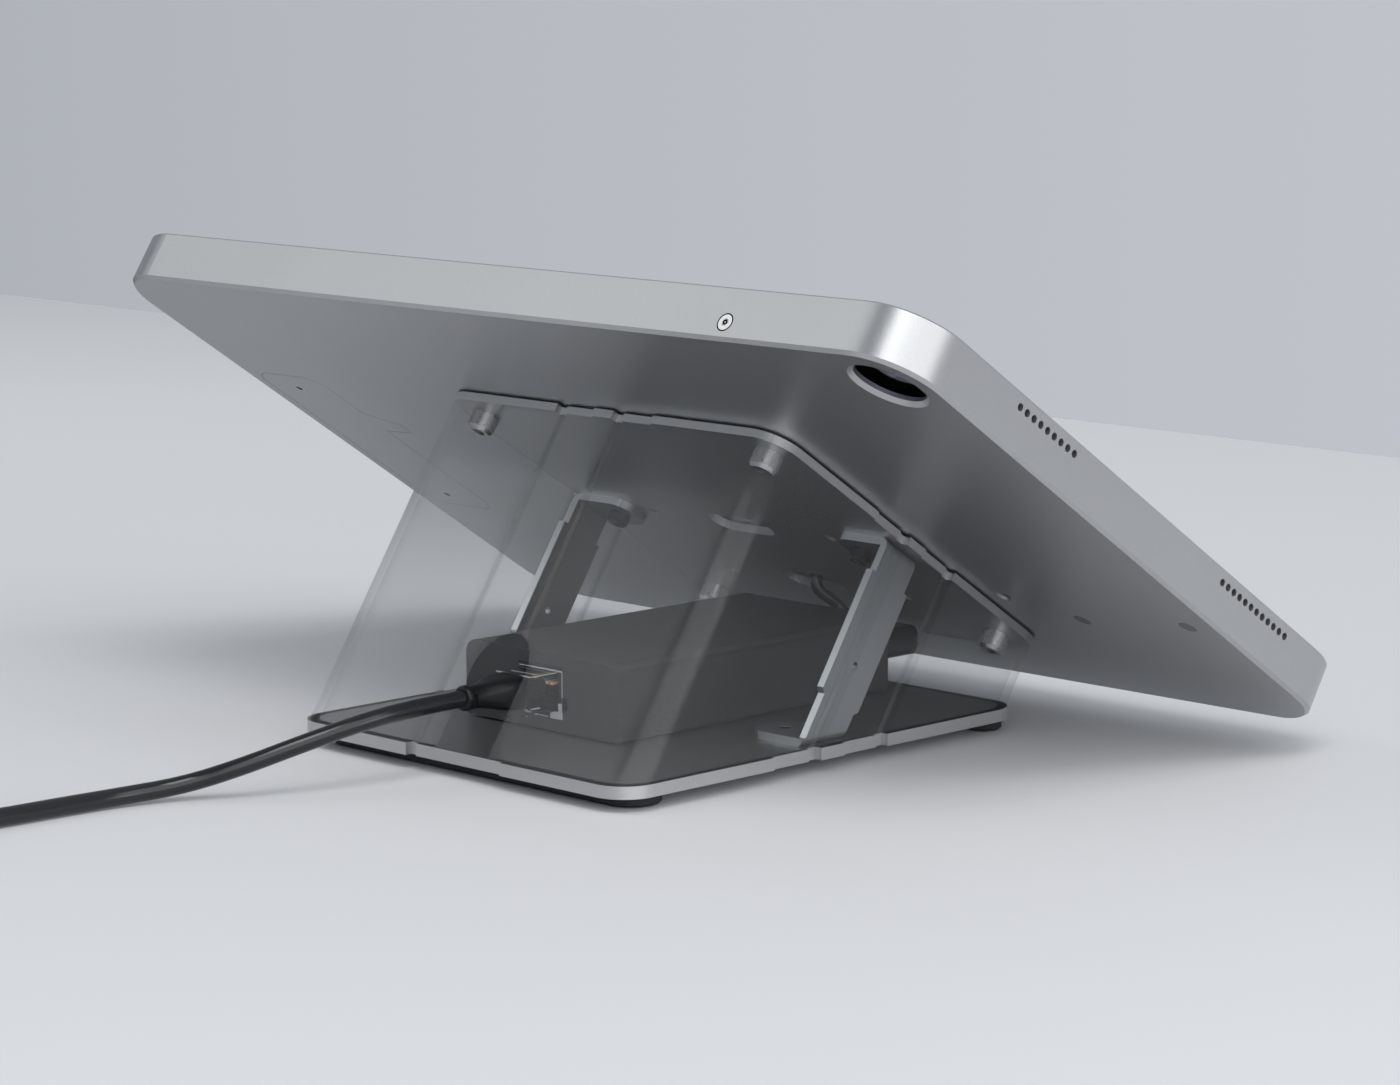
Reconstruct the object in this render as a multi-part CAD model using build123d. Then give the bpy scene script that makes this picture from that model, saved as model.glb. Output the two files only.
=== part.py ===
from build123d import *
import os
from math import cos, pi, radians, sin, sqrt, tan

# Desk stand for a tablet: a sloped housing on a plate, two brackets, a base plate, a see-through cover
# and a network adapter with its cord.  Millimetres, +Z up, the screen faces -Y, the origin is on the
# table under the middle of the stand.

# Slope and place of the housing's low edge
TILT = 33.1
LOW_EDGE_Y = -79.7
LOW_EDGE_HIGH = 6.43

# Tablet of the 10.9 inch class
TABLET_W = 247.6
TABLET_L = 178.5
TABLET_T = 6.1
TABLET_CORNER = 17.5
TABLET_BEVEL = 0.5
GLASS_T = 0.7
GLASS_INSET = 0.5
PORT_W = 8.6
PORT_T = 2.8
PORT_DEEP = 8.0
LENS_IN = 12.3
LENS_DOWN = 13.2
LENS_RING_R = 5.3
LENS_R = 4.4
LENS_RISE = 1.2
LENS_SUNK = 0.3

# Housing around the tablet
WALL = 2.0
TABLET_GAP = 1.2
PLUG_ROOM = 18.2
HOUSING_T = 13.0
HOUSING_CORNER = 15.8
HOUSING_BEVEL = 0.85
RIM_BEVEL = 0.4
FRAME_T = 1.2
FRAME_FIT = 0.15
FRAME_BEVEL = 0.6
SCREEN_EDGE = 9.3
WINDOW_CORNER = 3.0

# Openings of the housing, from its far end along the width
CAMERA_IN = 14.3
CAMERA_DOWN = 14.6
CAMERA_R = 8.55
CAMERA_RIM_R = 9.55
SOUND_HOLE_R = 0.9
SOUND_HOLE_UP = 9.95
SOUND_ROWS = ((40.1, 62.02, 2.74), (126.3, 155.01, 2.61))
ACCESS_IN = (29.7, 4.2)
ACCESS_DOWN = (51.6, 126.8)
ACCESS_CORNER = 6.0
ACCESS_TAB_REACH = 10.6
ACCESS_TAB_DOWN = (70.7, 74.7, 79.5, 80.4)
ACCESS_T = 1.0
ACCESS_GAP = 0.15
ACCESS_SCREW_IN = 15.5
ACCESS_SCREWS_DOWN = (59.1, 120.2)
ACCESS_MOUTH = (19.0, 46.0)
ACCESS_BOSS_R = 3.0
ACCESS_BOSS_T = 1.6
FLAT_HEAD_R = 2.1
FLAT_HEAD_DEEP = 0.8
SMALL_SCREW_R = 1.25
REAR_HOLE_IN = 64.6
REAR_HOLE_DOWN = 131.4
REAR_HOLE_R = 1.6
REAR_HOLE_RIM_R = 2.15
REAR_HOLE_RIM_DEEP = 0.6
REAR_PLUGS = ((45.5, 138.7), (9.5, 132.1))
REAR_PLUG_R = 2.2
REAR_PLUG_GAP = 0.1
REAR_PLUG_SUNK = 0.05

# Locking screw in the top wall
LOCK_IN = 53.4
LOCK_UP = 4.35
LOCK_HEAD_R = 2.1
LOCK_HEAD_DEEP = 0.85
LOCK_LENGTH = 9.0
LOCK_BLOCK = (12.0, 8.0, 3.6)
SCREW_FIT = 0.03

# Pads between the housing and the tablet
PAD_SIZE = (16.0, 12.0)
PAD_COLUMNS = (-0.35, 0.035, 0.39)
PAD_ROWS = (-0.42, 0.39)

# Charging lead inside the housing
ENTRY_BLOCK = (25.0, 14.0)
FLAT_LEAD_W = 8.0
FLAT_LEAD_T = 0.8
FLAT_LEAD_UP = 1.9
CHARGE_PLUG = (10.8, 12.0, 6.2)
CHARGE_PLUG_GAP = 0.2
CHARGE_PLUG_ROUND = 2.4
CHARGE_TIP = (8.3, 2.5, 6.3)

# Plate under the housing and base plate
PLATE_X = -6.83
PLATE_UP = 24.85
PLATE_W = 115.0
PLATE_L = 114.2
PLATE_T = 2.05
PLATE_GAP = 0.5
PLATE_CORNER = 8.8
BASE_T = 3.0
FOOT_T = 3.15
FOOT_SIDE_IN = 3.7
REAR_FOOT = (5.8, 14.0)
FRONT_FOOT = (0.3, 9.6)
FOOT_BEVEL = 0.5
BASE_SHIFT = 0.33
GROOVE_DEEP = 2.0
RECESS_DEEP = 1.0
EDGE_STEPS = ((13.6, 16.0, GROOVE_DEEP), (3.5, 13.6, RECESS_DEEP), (-5.9, -3.2, GROOVE_DEEP),
              (-16.4, -5.9, RECESS_DEEP))
BASE_REAR_STEPS = ((13.6, 16.0, GROOVE_DEEP), (-16.4, 13.6, RECESS_DEEP))

# Screws of the plate
PLATE_SCREW_IN = (9.0, 8.6)
PLATE_SCREW_R = 2.0
PLATE_HOLE_R = 2.2
PLATE_HEAD_R = 3.5
PLATE_HEAD_T = 4.7
HEX_KEY = 3.0
NUT_WIDTH = 7.0
NUT_T = 2.2
WASHER_R = 4.5
THREAD_PROUD = 0.4
SPARE_HOLE_AT = 30.1
SPARE_HOLE_R = 1.6
SPARE_ROW_DOWN = 32.6
SLOT_W = 20.0
SLOT_T = 9.0
LEAD_SLOT_DOWN = 30.85

# Brackets
BRACKET_IN = 3.5
BRACKET_T = 2.0
BRACKET_REACH = 18.0
BRACKET_HALF = 6.0
BRACKET_WEB_HALF = 7.2
BRACKET_STEPS_Z = (-11.5, -42.5, -43.6)
BRACKET_HOLE_Z = -33.5
BRACKET_HOLE_R = 0.9
BEND_R = 2.6
TONGUE_R = 5.0
M3_R = 1.5
M3_HOLE_R = 1.6
M3_HEAD_R = 2.75
M3_HEAD_T = 3.0
BRACKET_SCREW_IN = 12.3
SCREW_SHORT = 0.1
FLAT_M3_HEAD_R = 2.8

# Cover around the cables
COVER_WALL = 2.0
COVER_INSET = 0.1
COVER_GAP = 0.1
COVER_GROOVE = 1.4
ARCH_W = 20.0
ARCH_TALL = 32.0
ARCH_X = -1.9

# Network adapter
ADAPTER_X = -3.2
ADAPTER_W = 53.05
ADAPTER_FRONT_ROOM = 10.93
ADAPTER_L = 93.4
ADAPTER_T = 18.5
ADAPTER_ROUND = 3.5
ADAPTER_BEVEL = 0.6
ADAPTER_WALL = 1.8
ADAPTER_FLOOR_T = 1.4
PART_GAP = 0.1
TAPE_T = 0.55
TAPE_SIZE = (36.0, 18.0)
TAPE_IN = 20.0
BOARD_GAP = (2.2, 3.5)
BOARD_END_GAP = 0.3
BOARD_T = 1.6
BOARD_UP = 2.2
JACK_W = 15.0
JACK_T = 12.2
JACK_L = 21.0
JACK_UP = 3.85
JACK_DEEP = 14.0
JACK_FIT = 0.15
JACK_TOP_FIT = 0.45
JACK_FLOOR_T = 0.4
SPRING_SIZE = (0.4, 9.0, 0.3)
COIL_BLOCK = (18.0, 20.0, 10.5)
COIL_BLOCK_PLACE = (-5.0, 48.0)
CAPACITOR_R = 4.0
CAPACITOR_T = 11.5
CAPACITOR_X = 14.0
CAPACITORS_IN = (28.0, 40.0, 52.0)

# Power plug and its lead
SOCKET_IN = 5.925
SOCKET_UP = 11.45
SOCKET_CASE = (8.2, 12.15, 9.2)
SOCKET_FOOT = (6.0, 10.0)
POWER_PLUG = (9.6, 13.4, 7.6)
POWER_PLUG_GAP = 0.2
POWER_PLUG_ROUND = 2.2
BARREL_R = 2.7
BARREL_IN = 8.3
SOCKET_CASE_GAP = 0.35
SOCKET_END = 3.2
LEAD_BACK = 6.8
LEAD_UP = 0.6
LEAD_RUN = 4.2
LEAD_ROUTE = ((-5.17, 12.2, -6.6), (-2.67, 7.2, -4.6), (-0.77, 2.4, -4.4), (0.0, 0.0, -1.5))
NECK_RUN = 3.0
NECK_T = 0.9
LEAD_R = 1.5
LEAD_FIT = 0.05
LEAD_IN = 2.2
LEAD_DEEP = 2.0

# Network plug, seen along its axis from the cord's end
PLUG_W = 11.7
PLUG_T = 7.8
PLUG_L = 21.0
PLUG_LOW = 0.3
PLUG_IN = 12.0
PLUG_BEVEL = 0.4
BOOT_L = 16.5
BOOT_COLLAR_L = 2.2
BOOT_COLLAR_W = 6.1
BOOT_COLLAR_STEP = 0.25
BOOT_ROOM = 0.6
BOOT_ROUND = 2.4
CONTACTS = 8
CONTACT_PITCH = 1.02
CONTACT_SIZE = (0.34, 3.4, 2.3)
CONTACT_IN = 2.6
CONTACT_SUNK = 0.1
CONTACT_FIT = 0.03
WIRE_R = 0.42
WIRE_DEEP = 3.0
JACKET_IN = 9.0
JACKET_FIT = 0.1
JACKET_LOW = 0.4
LATCH_PIVOT = 36.5
LATCH_REACH = 21.5
LATCH_DROP = 2.2
LATCH_T = 0.9
LATCH_GAP = 0.1
LATCH_HALF = 3.1
LATCH_TAB_HALF = 1.65
LATCH_WIDE = 11.0
LATCH_BELLY = 1.6

# Network cord
CORD_R = 2.075
CORD_CLEAR = 0.025
CORD_UP = 11.25
CORD_FALL = ((0.0, 0.0, 0.0), (0.0, 13.5, 0.0), (2.2, 27.2, 1.6), (6.8, 41.2, 5.2), (14.4, 54.2, 10.15),
             (23.4, 64.0, 14.3))
CORD_RUN = ((28.1, 78.4), (29.3, 94.7), (30.0, 111.7), (32.2, 124.8))
COIL_STEP = (33.4, 139.7)
COIL_TURNS = 9
COIL_PITCH = 4.65
COIL_MIDDLE_R = 23.3
COIL_END_RUN = 20.0

SLOPE = radians(TILT)
HOUSING_W = TABLET_W + TABLET_GAP + PLUG_ROOM + 2 * WALL
HOUSING_L = TABLET_L + 2 * TABLET_GAP + 2 * WALL
TABLET_SHIFT = (TABLET_GAP - PLUG_ROOM) / 2
FAR_END = -HOUSING_W / 2
LEAD_END = HOUSING_W / 2
PLATE_LOW = -PLATE_GAP - PLATE_T
GLASS_LOW = HOUSING_T - FRAME_T - GLASS_T
TABLET_LOW = HOUSING_T - FRAME_T - TABLET_T
TABLET_END_X = TABLET_SHIFT + TABLET_W / 2
PORT_HIGH = TABLET_LOW + (TABLET_T - GLASS_T) / 2
ACCESS_X = (LEAD_END - ACCESS_IN[0], LEAD_END - ACCESS_IN[1])
BIG = 400.0

HOUSING = Location((0, LOW_EDGE_Y + HOUSING_L / 2 * cos(SLOPE), LOW_EDGE_HIGH + HOUSING_L / 2 * sin(SLOPE)),
                   (TILT, 0, 0))
PLATE_MIDDLE_Y = PLATE_UP + PLATE_L / 2 - HOUSING_L / 2
PLATE = HOUSING * Pos(PLATE_X, PLATE_MIDDLE_Y, 0)
PLATE_SCREW_X = PLATE_W / 2 - PLATE_SCREW_IN[0]
PLATE_SCREW_Y = PLATE_L / 2 - PLATE_SCREW_IN[1]
PLATE_SCREWS = [(x, y) for x in (-PLATE_SCREW_X, PLATE_SCREW_X) for y in (-PLATE_SCREW_Y, PLATE_SCREW_Y)]
BRACKET_OUTER = PLATE_W / 2 - BRACKET_IN
BRACKET_SCREW_X = BRACKET_OUTER - BRACKET_SCREW_IN

BASE_TOP = FOOT_T + BASE_T
BASE_L = PLATE_L / cos(SLOPE)
FOOT_Y = PLATE.position.Y + (PLATE.position.Z - BASE_TOP) * tan(SLOPE)
BASE_Y = FOOT_Y + BASE_SHIFT
REAR_Y = BASE_Y + BASE_L / 2

ADAPTER_LOW = BASE_TOP + TAPE_T
ADAPTER_BACK = REAR_Y - BASE_L + ADAPTER_FRONT_ROOM
ADAPTER_FRONT = ADAPTER_BACK + ADAPTER_L
BOARD_HIGH = BASE_TOP + BOARD_UP
JACK_HIGH = BASE_TOP + JACK_UP
SOCKET_X = ADAPTER_X - ADAPTER_W / 2 + SOCKET_IN
SOCKET_HIGH = BASE_TOP + SOCKET_UP

# Network cord from its boot to its coil on the table, as steps from the end of its boot
CORD_HIGH = BASE_TOP + CORD_UP
CORD_Y = ADAPTER_FRONT + BOOT_L + PLUG_L - PLUG_IN
TABLE_LINE = CORD_R + CORD_CLEAR
COIL_START = Vector(ADAPTER_X + COIL_STEP[0], CORD_Y + COIL_STEP[1], TABLE_LINE)
CORD_ROUTE = [(ADAPTER_X + x, CORD_Y + y, CORD_HIGH - fall) for x, y, fall in CORD_FALL]
CORD_ROUTE += [(ADAPTER_X + x, CORD_Y + y, TABLE_LINE) for x, y in CORD_RUN]
CORD_ROUTE.append((COIL_START.X, COIL_START.Y - 2 * CORD_R, TABLE_LINE))


def contact_steps():
    """Steps of the contacts to each side of the plug's middle."""
    return [(index - (CONTACTS - 1) / 2) * CONTACT_PITCH for index in range(CONTACTS)]


def down(distance):
    """Height on the sloped housing of a place this far below its top edge."""
    return HOUSING_L / 2 - distance


def on_slope(x, far, high):
    """Point given by its distance below the housing's top edge and its height over the back."""
    return (HOUSING * Pos(x, down(far), high)).position


def rounded_slab(width, length, thick, corner, low=0.0):
    """Flat slab with round corners, from a low face up."""
    return Pos(0, 0, low) * extrude(RectangleRounded(width, length, corner), thick)


def rod(radius, low, high, x=0.0, y=0.0):
    """Upright cylinder between two heights."""
    return Pos(x, y, low) * extrude(Circle(radius), high - low)


def flare(low_r, high_r, tall):
    """Cone frustum that stands on height 0."""
    return Cone(low_r, high_r, tall, align=(Align.CENTER, Align.CENTER, Align.MIN))


def block(x, y, z):
    """Box between three pairs of limits."""
    middle = Pos((x[0] + x[1]) / 2, (y[0] + y[1]) / 2, (z[0] + z[1]) / 2)
    return middle * Box(x[1] - x[0], y[1] - y[0], z[1] - z[0])


def around(x, width, y, z):
    """Box with its middle at x, between two pairs of limits."""
    return block((x - width / 2, x + width / 2), y, z)


def flat_screw(head_r, head_deep, shank_r, length):
    """Countersunk screw with its flat head at height 0 and its shank upwards."""
    body = rod(shank_r, 0, length) + flare(head_r, shank_r, head_deep)
    return body - rod(0.45 * head_r, -1, head_deep * 0.8)


def flat_hole(head_r, head_deep, shank_r, length):
    """Space for a countersunk screw."""
    return rod(shank_r + SCREW_FIT, -1, length) + flare(head_r + SCREW_FIT, shank_r + SCREW_FIT, head_deep)


def cap_screw(head_r, head_t, shank_r, length):
    """Socket head screw with the underside of its head at height 0 and its shank upwards."""
    head = rod(head_r, -head_t, 0)
    head = chamfer(head.edges().group_by(Axis.Z)[0], 0.12 * head_t)
    key = extrude(RegularPolygon(HEX_KEY / 2 * head_r / PLATE_HEAD_R, 6, major_radius=False), head_t * 0.55)
    return head - Pos(0, 0, -head_t) * key + rod(shank_r, 0, length)


def access_outline(gap):
    """Outline of the access panel, made smaller by a gap."""
    middle_x = sum(ACCESS_X) / 2
    panel = Pos(middle_x, down(sum(ACCESS_DOWN) / 2)) * RectangleRounded(
        ACCESS_X[1] - ACCESS_X[0], ACCESS_DOWN[1] - ACCESS_DOWN[0], ACCESS_CORNER)
    edge = ACCESS_X[0]
    reach = edge - ACCESS_TAB_REACH
    first, second, third, last = (down(far) for far in ACCESS_TAB_DOWN)
    tab = make_face(Polyline((middle_x, first), (edge, first), (reach, second), (reach, third), (edge, last),
                             (middle_x, last), close=True))
    outline = panel + tab
    return offset(outline, -gap, kind=Kind.INTERSECTION) if gap else outline


def housing_shell():
    """Tray of the housing: back, four walls and every opening."""
    shell = rounded_slab(HOUSING_W, HOUSING_L, HOUSING_T, HOUSING_CORNER)
    shell = chamfer(shell.faces().sort_by(Axis.Z)[0].edges(), HOUSING_BEVEL)
    shell = chamfer(shell.faces().sort_by(Axis.Z)[-1].edges(), RIM_BEVEL)
    shell -= rounded_slab(HOUSING_W - 2 * WALL, HOUSING_L - 2 * WALL, HOUSING_T, HOUSING_CORNER - WALL, WALL)
    camera = Pos(FAR_END + CAMERA_IN, down(CAMERA_DOWN), 0)
    shell -= camera * rod(CAMERA_R, -WALL, 2 * WALL)
    shell -= camera * flare(CAMERA_RIM_R, CAMERA_R, WALL / 2)
    for start, end, pitch in SOUND_ROWS:
        for index in range(round((end - start) / pitch) + 1):
            place = Pos(FAR_END + WALL / 2, down(start + index * pitch), SOUND_HOLE_UP)
            shell -= place * Rot(0, 90, 0) * Cylinder(SOUND_HOLE_R, 2 * WALL)
    shell -= Pos(0, 0, -WALL) * extrude(access_outline(0), ACCESS_T + WALL)
    mouth = Pos(sum(ACCESS_X) / 2, down(sum(ACCESS_SCREWS_DOWN) / 2), 0)
    shell -= mouth * Box(ACCESS_MOUTH[0], ACCESS_MOUTH[1], 3 * WALL)
    screw_x = LEAD_END - ACCESS_SCREW_IN
    for far in ACCESS_SCREWS_DOWN:
        shell += rod(ACCESS_BOSS_R, WALL, WALL + ACCESS_BOSS_T, screw_x, down(far))
        shell -= rod(SMALL_SCREW_R + SCREW_FIT, 0, 2 * WALL, screw_x, down(far))
    hole = Pos(FAR_END + REAR_HOLE_IN, down(REAR_HOLE_DOWN), 0)
    shell -= hole * rod(REAR_HOLE_R, -WALL, 2 * WALL)
    shell -= hole * flare(REAR_HOLE_RIM_R, REAR_HOLE_R, REAR_HOLE_RIM_DEEP)
    for along, far in REAR_PLUGS:
        shell -= rod(REAR_PLUG_R + REAR_PLUG_GAP, -WALL, 2 * WALL, FAR_END + along, down(far))
    shell -= Pos(FAR_END + LOCK_IN, HOUSING_L / 2, LOCK_UP) * Rot(90, 0, 0) * flat_hole(
        LOCK_HEAD_R, LOCK_HEAD_DEEP, SMALL_SCREW_R, 2 * WALL)
    shell -= Pos(PLATE_X, PLATE_MIDDLE_Y - LEAD_SLOT_DOWN, 0) * extrude(
        SlotOverall(SLOT_W, SLOT_T), 2 * WALL, both=True)
    for x, y in PLATE_SCREWS:
        shell -= rod(PLATE_HOLE_R, -WALL, 2 * WALL, PLATE_X + x, PLATE_MIDDLE_Y + y)
    return shell


def front_frame():
    """Frame that closes the housing around the screen."""
    ring = rounded_slab(HOUSING_W - 2 * WALL - 2 * FRAME_FIT, HOUSING_L - 2 * WALL - 2 * FRAME_FIT, FRAME_T,
                        HOUSING_CORNER - WALL - FRAME_FIT, HOUSING_T - FRAME_T)
    window_w = TABLET_W - 2 * SCREEN_EDGE
    window_l = TABLET_L - 2 * SCREEN_EDGE
    ring -= Pos(TABLET_SHIFT, 0, 0) * rounded_slab(window_w, window_l, HOUSING_T, WINDOW_CORNER, FRAME_T)
    inner = ring.edges().group_by(Axis.Z)[-1]
    inner = inner.filter_by(lambda edge: abs(edge.center().X - TABLET_SHIFT) < window_w / 2 + FRAME_T)
    inner = inner.filter_by(lambda edge: abs(edge.center().Y) < window_l / 2 + FRAME_T)
    return chamfer(inner, FRAME_BEVEL)


def tablet_parts():
    """Tablet: metal body, screen glass, camera ring and camera lens."""
    place = Pos(TABLET_SHIFT, 0, 0)
    body = place * rounded_slab(TABLET_W, TABLET_L, TABLET_T - GLASS_T, TABLET_CORNER, TABLET_LOW)
    body = chamfer(body.faces().sort_by(Axis.Z)[0].edges(), TABLET_BEVEL)
    body -= Pos(TABLET_END_X, 0, PORT_HIGH) * Box(2 * PORT_DEEP, PORT_W, PORT_T)
    glass = place * rounded_slab(TABLET_W - 2 * GLASS_INSET, TABLET_L - 2 * GLASS_INSET, GLASS_T,
                                 TABLET_CORNER - GLASS_INSET, GLASS_LOW)
    eye = Pos(TABLET_END_X - TABLET_W + LENS_IN, TABLET_L / 2 - LENS_DOWN, 0)
    ring = rod(LENS_RING_R, TABLET_LOW - LENS_RISE, TABLET_LOW) - rod(LENS_R, 0, HOUSING_T)
    lens = rod(LENS_R, TABLET_LOW - LENS_RISE + LENS_SUNK, TABLET_LOW)
    return {"tablet_body": body, "screen_glass": glass, "camera_ring": eye * ring, "camera_lens": eye * lens}


def tablet_pads():
    """Soft pads between the back of the housing and the tablet."""
    wide, long = PAD_SIZE
    pads = []
    for x in (TABLET_SHIFT + share * TABLET_W for share in PAD_COLUMNS):
        for y in (share * TABLET_L for share in PAD_ROWS):
            pads.append(block((x - wide / 2, x + wide / 2), (y - long / 2, y + long / 2), (WALL, TABLET_LOW)))
    return pads


def access_parts():
    """Access panel on the back and its two screws."""
    panel = extrude(access_outline(ACCESS_GAP), ACCESS_T)
    screws = []
    for far in ACCESS_SCREWS_DOWN:
        place = Pos(LEAD_END - ACCESS_SCREW_IN, down(far), 0)
        panel -= place * flat_hole(FLAT_HEAD_R, FLAT_HEAD_DEEP, SMALL_SCREW_R, 2 * ACCESS_T)
        screws.append(place * flat_screw(FLAT_HEAD_R, FLAT_HEAD_DEEP, SMALL_SCREW_R,
                                         WALL + ACCESS_BOSS_T - SCREW_SHORT))
    return {"access_panel": panel, "access_screws": screws}


def rear_plugs():
    """Two small blanking plugs in the back."""
    return [rod(REAR_PLUG_R, REAR_PLUG_SUNK, WALL, FAR_END + along, down(far)) for along, far in REAR_PLUGS]


def lock_parts():
    """Locking screw in the top wall and the block that it goes into."""
    lock_x = FAR_END + LOCK_IN
    place = Pos(lock_x, HOUSING_L / 2, LOCK_UP) * Rot(90, 0, 0)
    screw = place * flat_screw(LOCK_HEAD_R, LOCK_HEAD_DEEP, SMALL_SCREW_R, LOCK_LENGTH)
    inner = HOUSING_L / 2 - WALL
    wide, deep, thick = LOCK_BLOCK
    body = block((lock_x - wide / 2, lock_x + wide / 2), (inner - deep, inner), (WALL, WALL + thick))
    body -= place * rod(SMALL_SCREW_R + SCREW_FIT, 0, 2 * LOCK_LENGTH)
    return {"lock_screw": screw, "lock_block": body}


def charge_parts():
    """Entry block of the power lead, flat lead inside the housing and the tablet's plug."""
    lead_y = PLATE_MIDDLE_Y - LEAD_SLOT_DOWN
    entry_end = PLATE_X + ENTRY_BLOCK[0] / 2
    entry_y = (lead_y - ENTRY_BLOCK[1] / 2, lead_y + ENTRY_BLOCK[1] / 2)
    entry = around(PLATE_X, ENTRY_BLOCK[0], entry_y, (WALL, TABLET_LOW - PART_GAP))
    entry -= rod(LEAD_R + LEAD_FIT, 0, WALL + LEAD_IN + LEAD_FIT, PLATE_X, lead_y)
    long, wide, thick = CHARGE_PLUG
    plug_x = (TABLET_END_X + CHARGE_PLUG_GAP, TABLET_END_X + CHARGE_PLUG_GAP + long)
    plug_low = PORT_HIGH - thick / 2
    plug = block(plug_x, (-wide / 2, wide / 2), (plug_low, plug_low + thick))
    plug = fillet(plug.edges().filter_by(Axis.X), CHARGE_PLUG_ROUND)
    tip_w, tip_t, tip_in = CHARGE_TIP
    plug += block((TABLET_END_X - tip_in, TABLET_END_X + long / 2), (-tip_w / 2, tip_w / 2),
                  (PORT_HIGH - tip_t / 2, PORT_HIGH + tip_t / 2))
    flat = (WALL + FLAT_LEAD_UP, WALL + FLAT_LEAD_UP + FLAT_LEAD_T)
    turn_x = (plug_x[1] - FLAT_LEAD_T - FLAT_LEAD_W, plug_x[1] - FLAT_LEAD_T)
    lead = block((entry_end, turn_x[1]), (lead_y - FLAT_LEAD_W / 2, lead_y + FLAT_LEAD_W / 2), flat)
    rise_y = (wide / 4 - FLAT_LEAD_T, wide / 4)
    lead += block(turn_x, (lead_y - FLAT_LEAD_W / 2, rise_y[1]), flat)
    lead += block(turn_x, rise_y, (flat[0], plug_low))
    return {"entry_block": entry, "flat_lead": lead, "charge_plug": plug}


def stepped_plate(width, length, thick, stretch, rear_steps, low):
    """Round-cornered plate whose rear and side edges have shallow recesses and narrow grooves."""
    plate = rounded_slab(width, length, thick, PLATE_CORNER, low)
    middle = low + thick / 2
    for start, end, deep in rear_steps:
        place = Pos((start + end) / 2, length / 2, middle)
        plate -= place * Box(end - start, 2 * deep, 2 * thick)
    for start, end, deep in EDGE_STEPS:
        for side in (-1, 1):
            place = Pos(side * width / 2, -stretch * (start + end) / 2, middle)
            plate -= place * Box(2 * deep, stretch * (end - start), 2 * thick)
    return plate


def plate_parts():
    """Plate under the housing with its screws, nuts and spacing washers."""
    plate = stepped_plate(PLATE_W, PLATE_L, PLATE_T, 1.0, EDGE_STEPS, PLATE_LOW)
    through = 2 * HOUSING_T
    for y in (0.0, -LEAD_SLOT_DOWN):
        plate -= Pos(0, y, PLATE_LOW) * extrude(SlotOverall(SLOT_W, SLOT_T), through, both=True)
    for x in (-SPARE_HOLE_AT, SPARE_HOLE_AT):
        for y in (0.0, -SPARE_ROW_DOWN):
            plate -= rod(SPARE_HOLE_R, -through, through, x, y)
    for x in (-BRACKET_SCREW_X, BRACKET_SCREW_X):
        plate -= rod(M3_HOLE_R, -through, through, x, 0)
    screws = []
    nuts = []
    washers = []
    for x, y in PLATE_SCREWS:
        plate -= rod(PLATE_HOLE_R, -through, through, x, y)
        length = WALL + NUT_T + THREAD_PROUD - PLATE_LOW
        screws.append(Pos(x, y, PLATE_LOW) * cap_screw(PLATE_HEAD_R, PLATE_HEAD_T, PLATE_SCREW_R, length))
        nut = Pos(x, y, WALL) * extrude(RegularPolygon(NUT_WIDTH / 2, 6, major_radius=False), NUT_T)
        nuts.append(nut - rod(PLATE_SCREW_R + SCREW_FIT, 0, through, x, y))
        washers.append(rod(WASHER_R, -PLATE_GAP, 0, x, y) - rod(PLATE_HOLE_R, -through, through, x, y))
    return {"sloped_plate": plate, "plate_screws": screws, "plate_nuts": nuts, "spacing_washers": washers}


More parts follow.
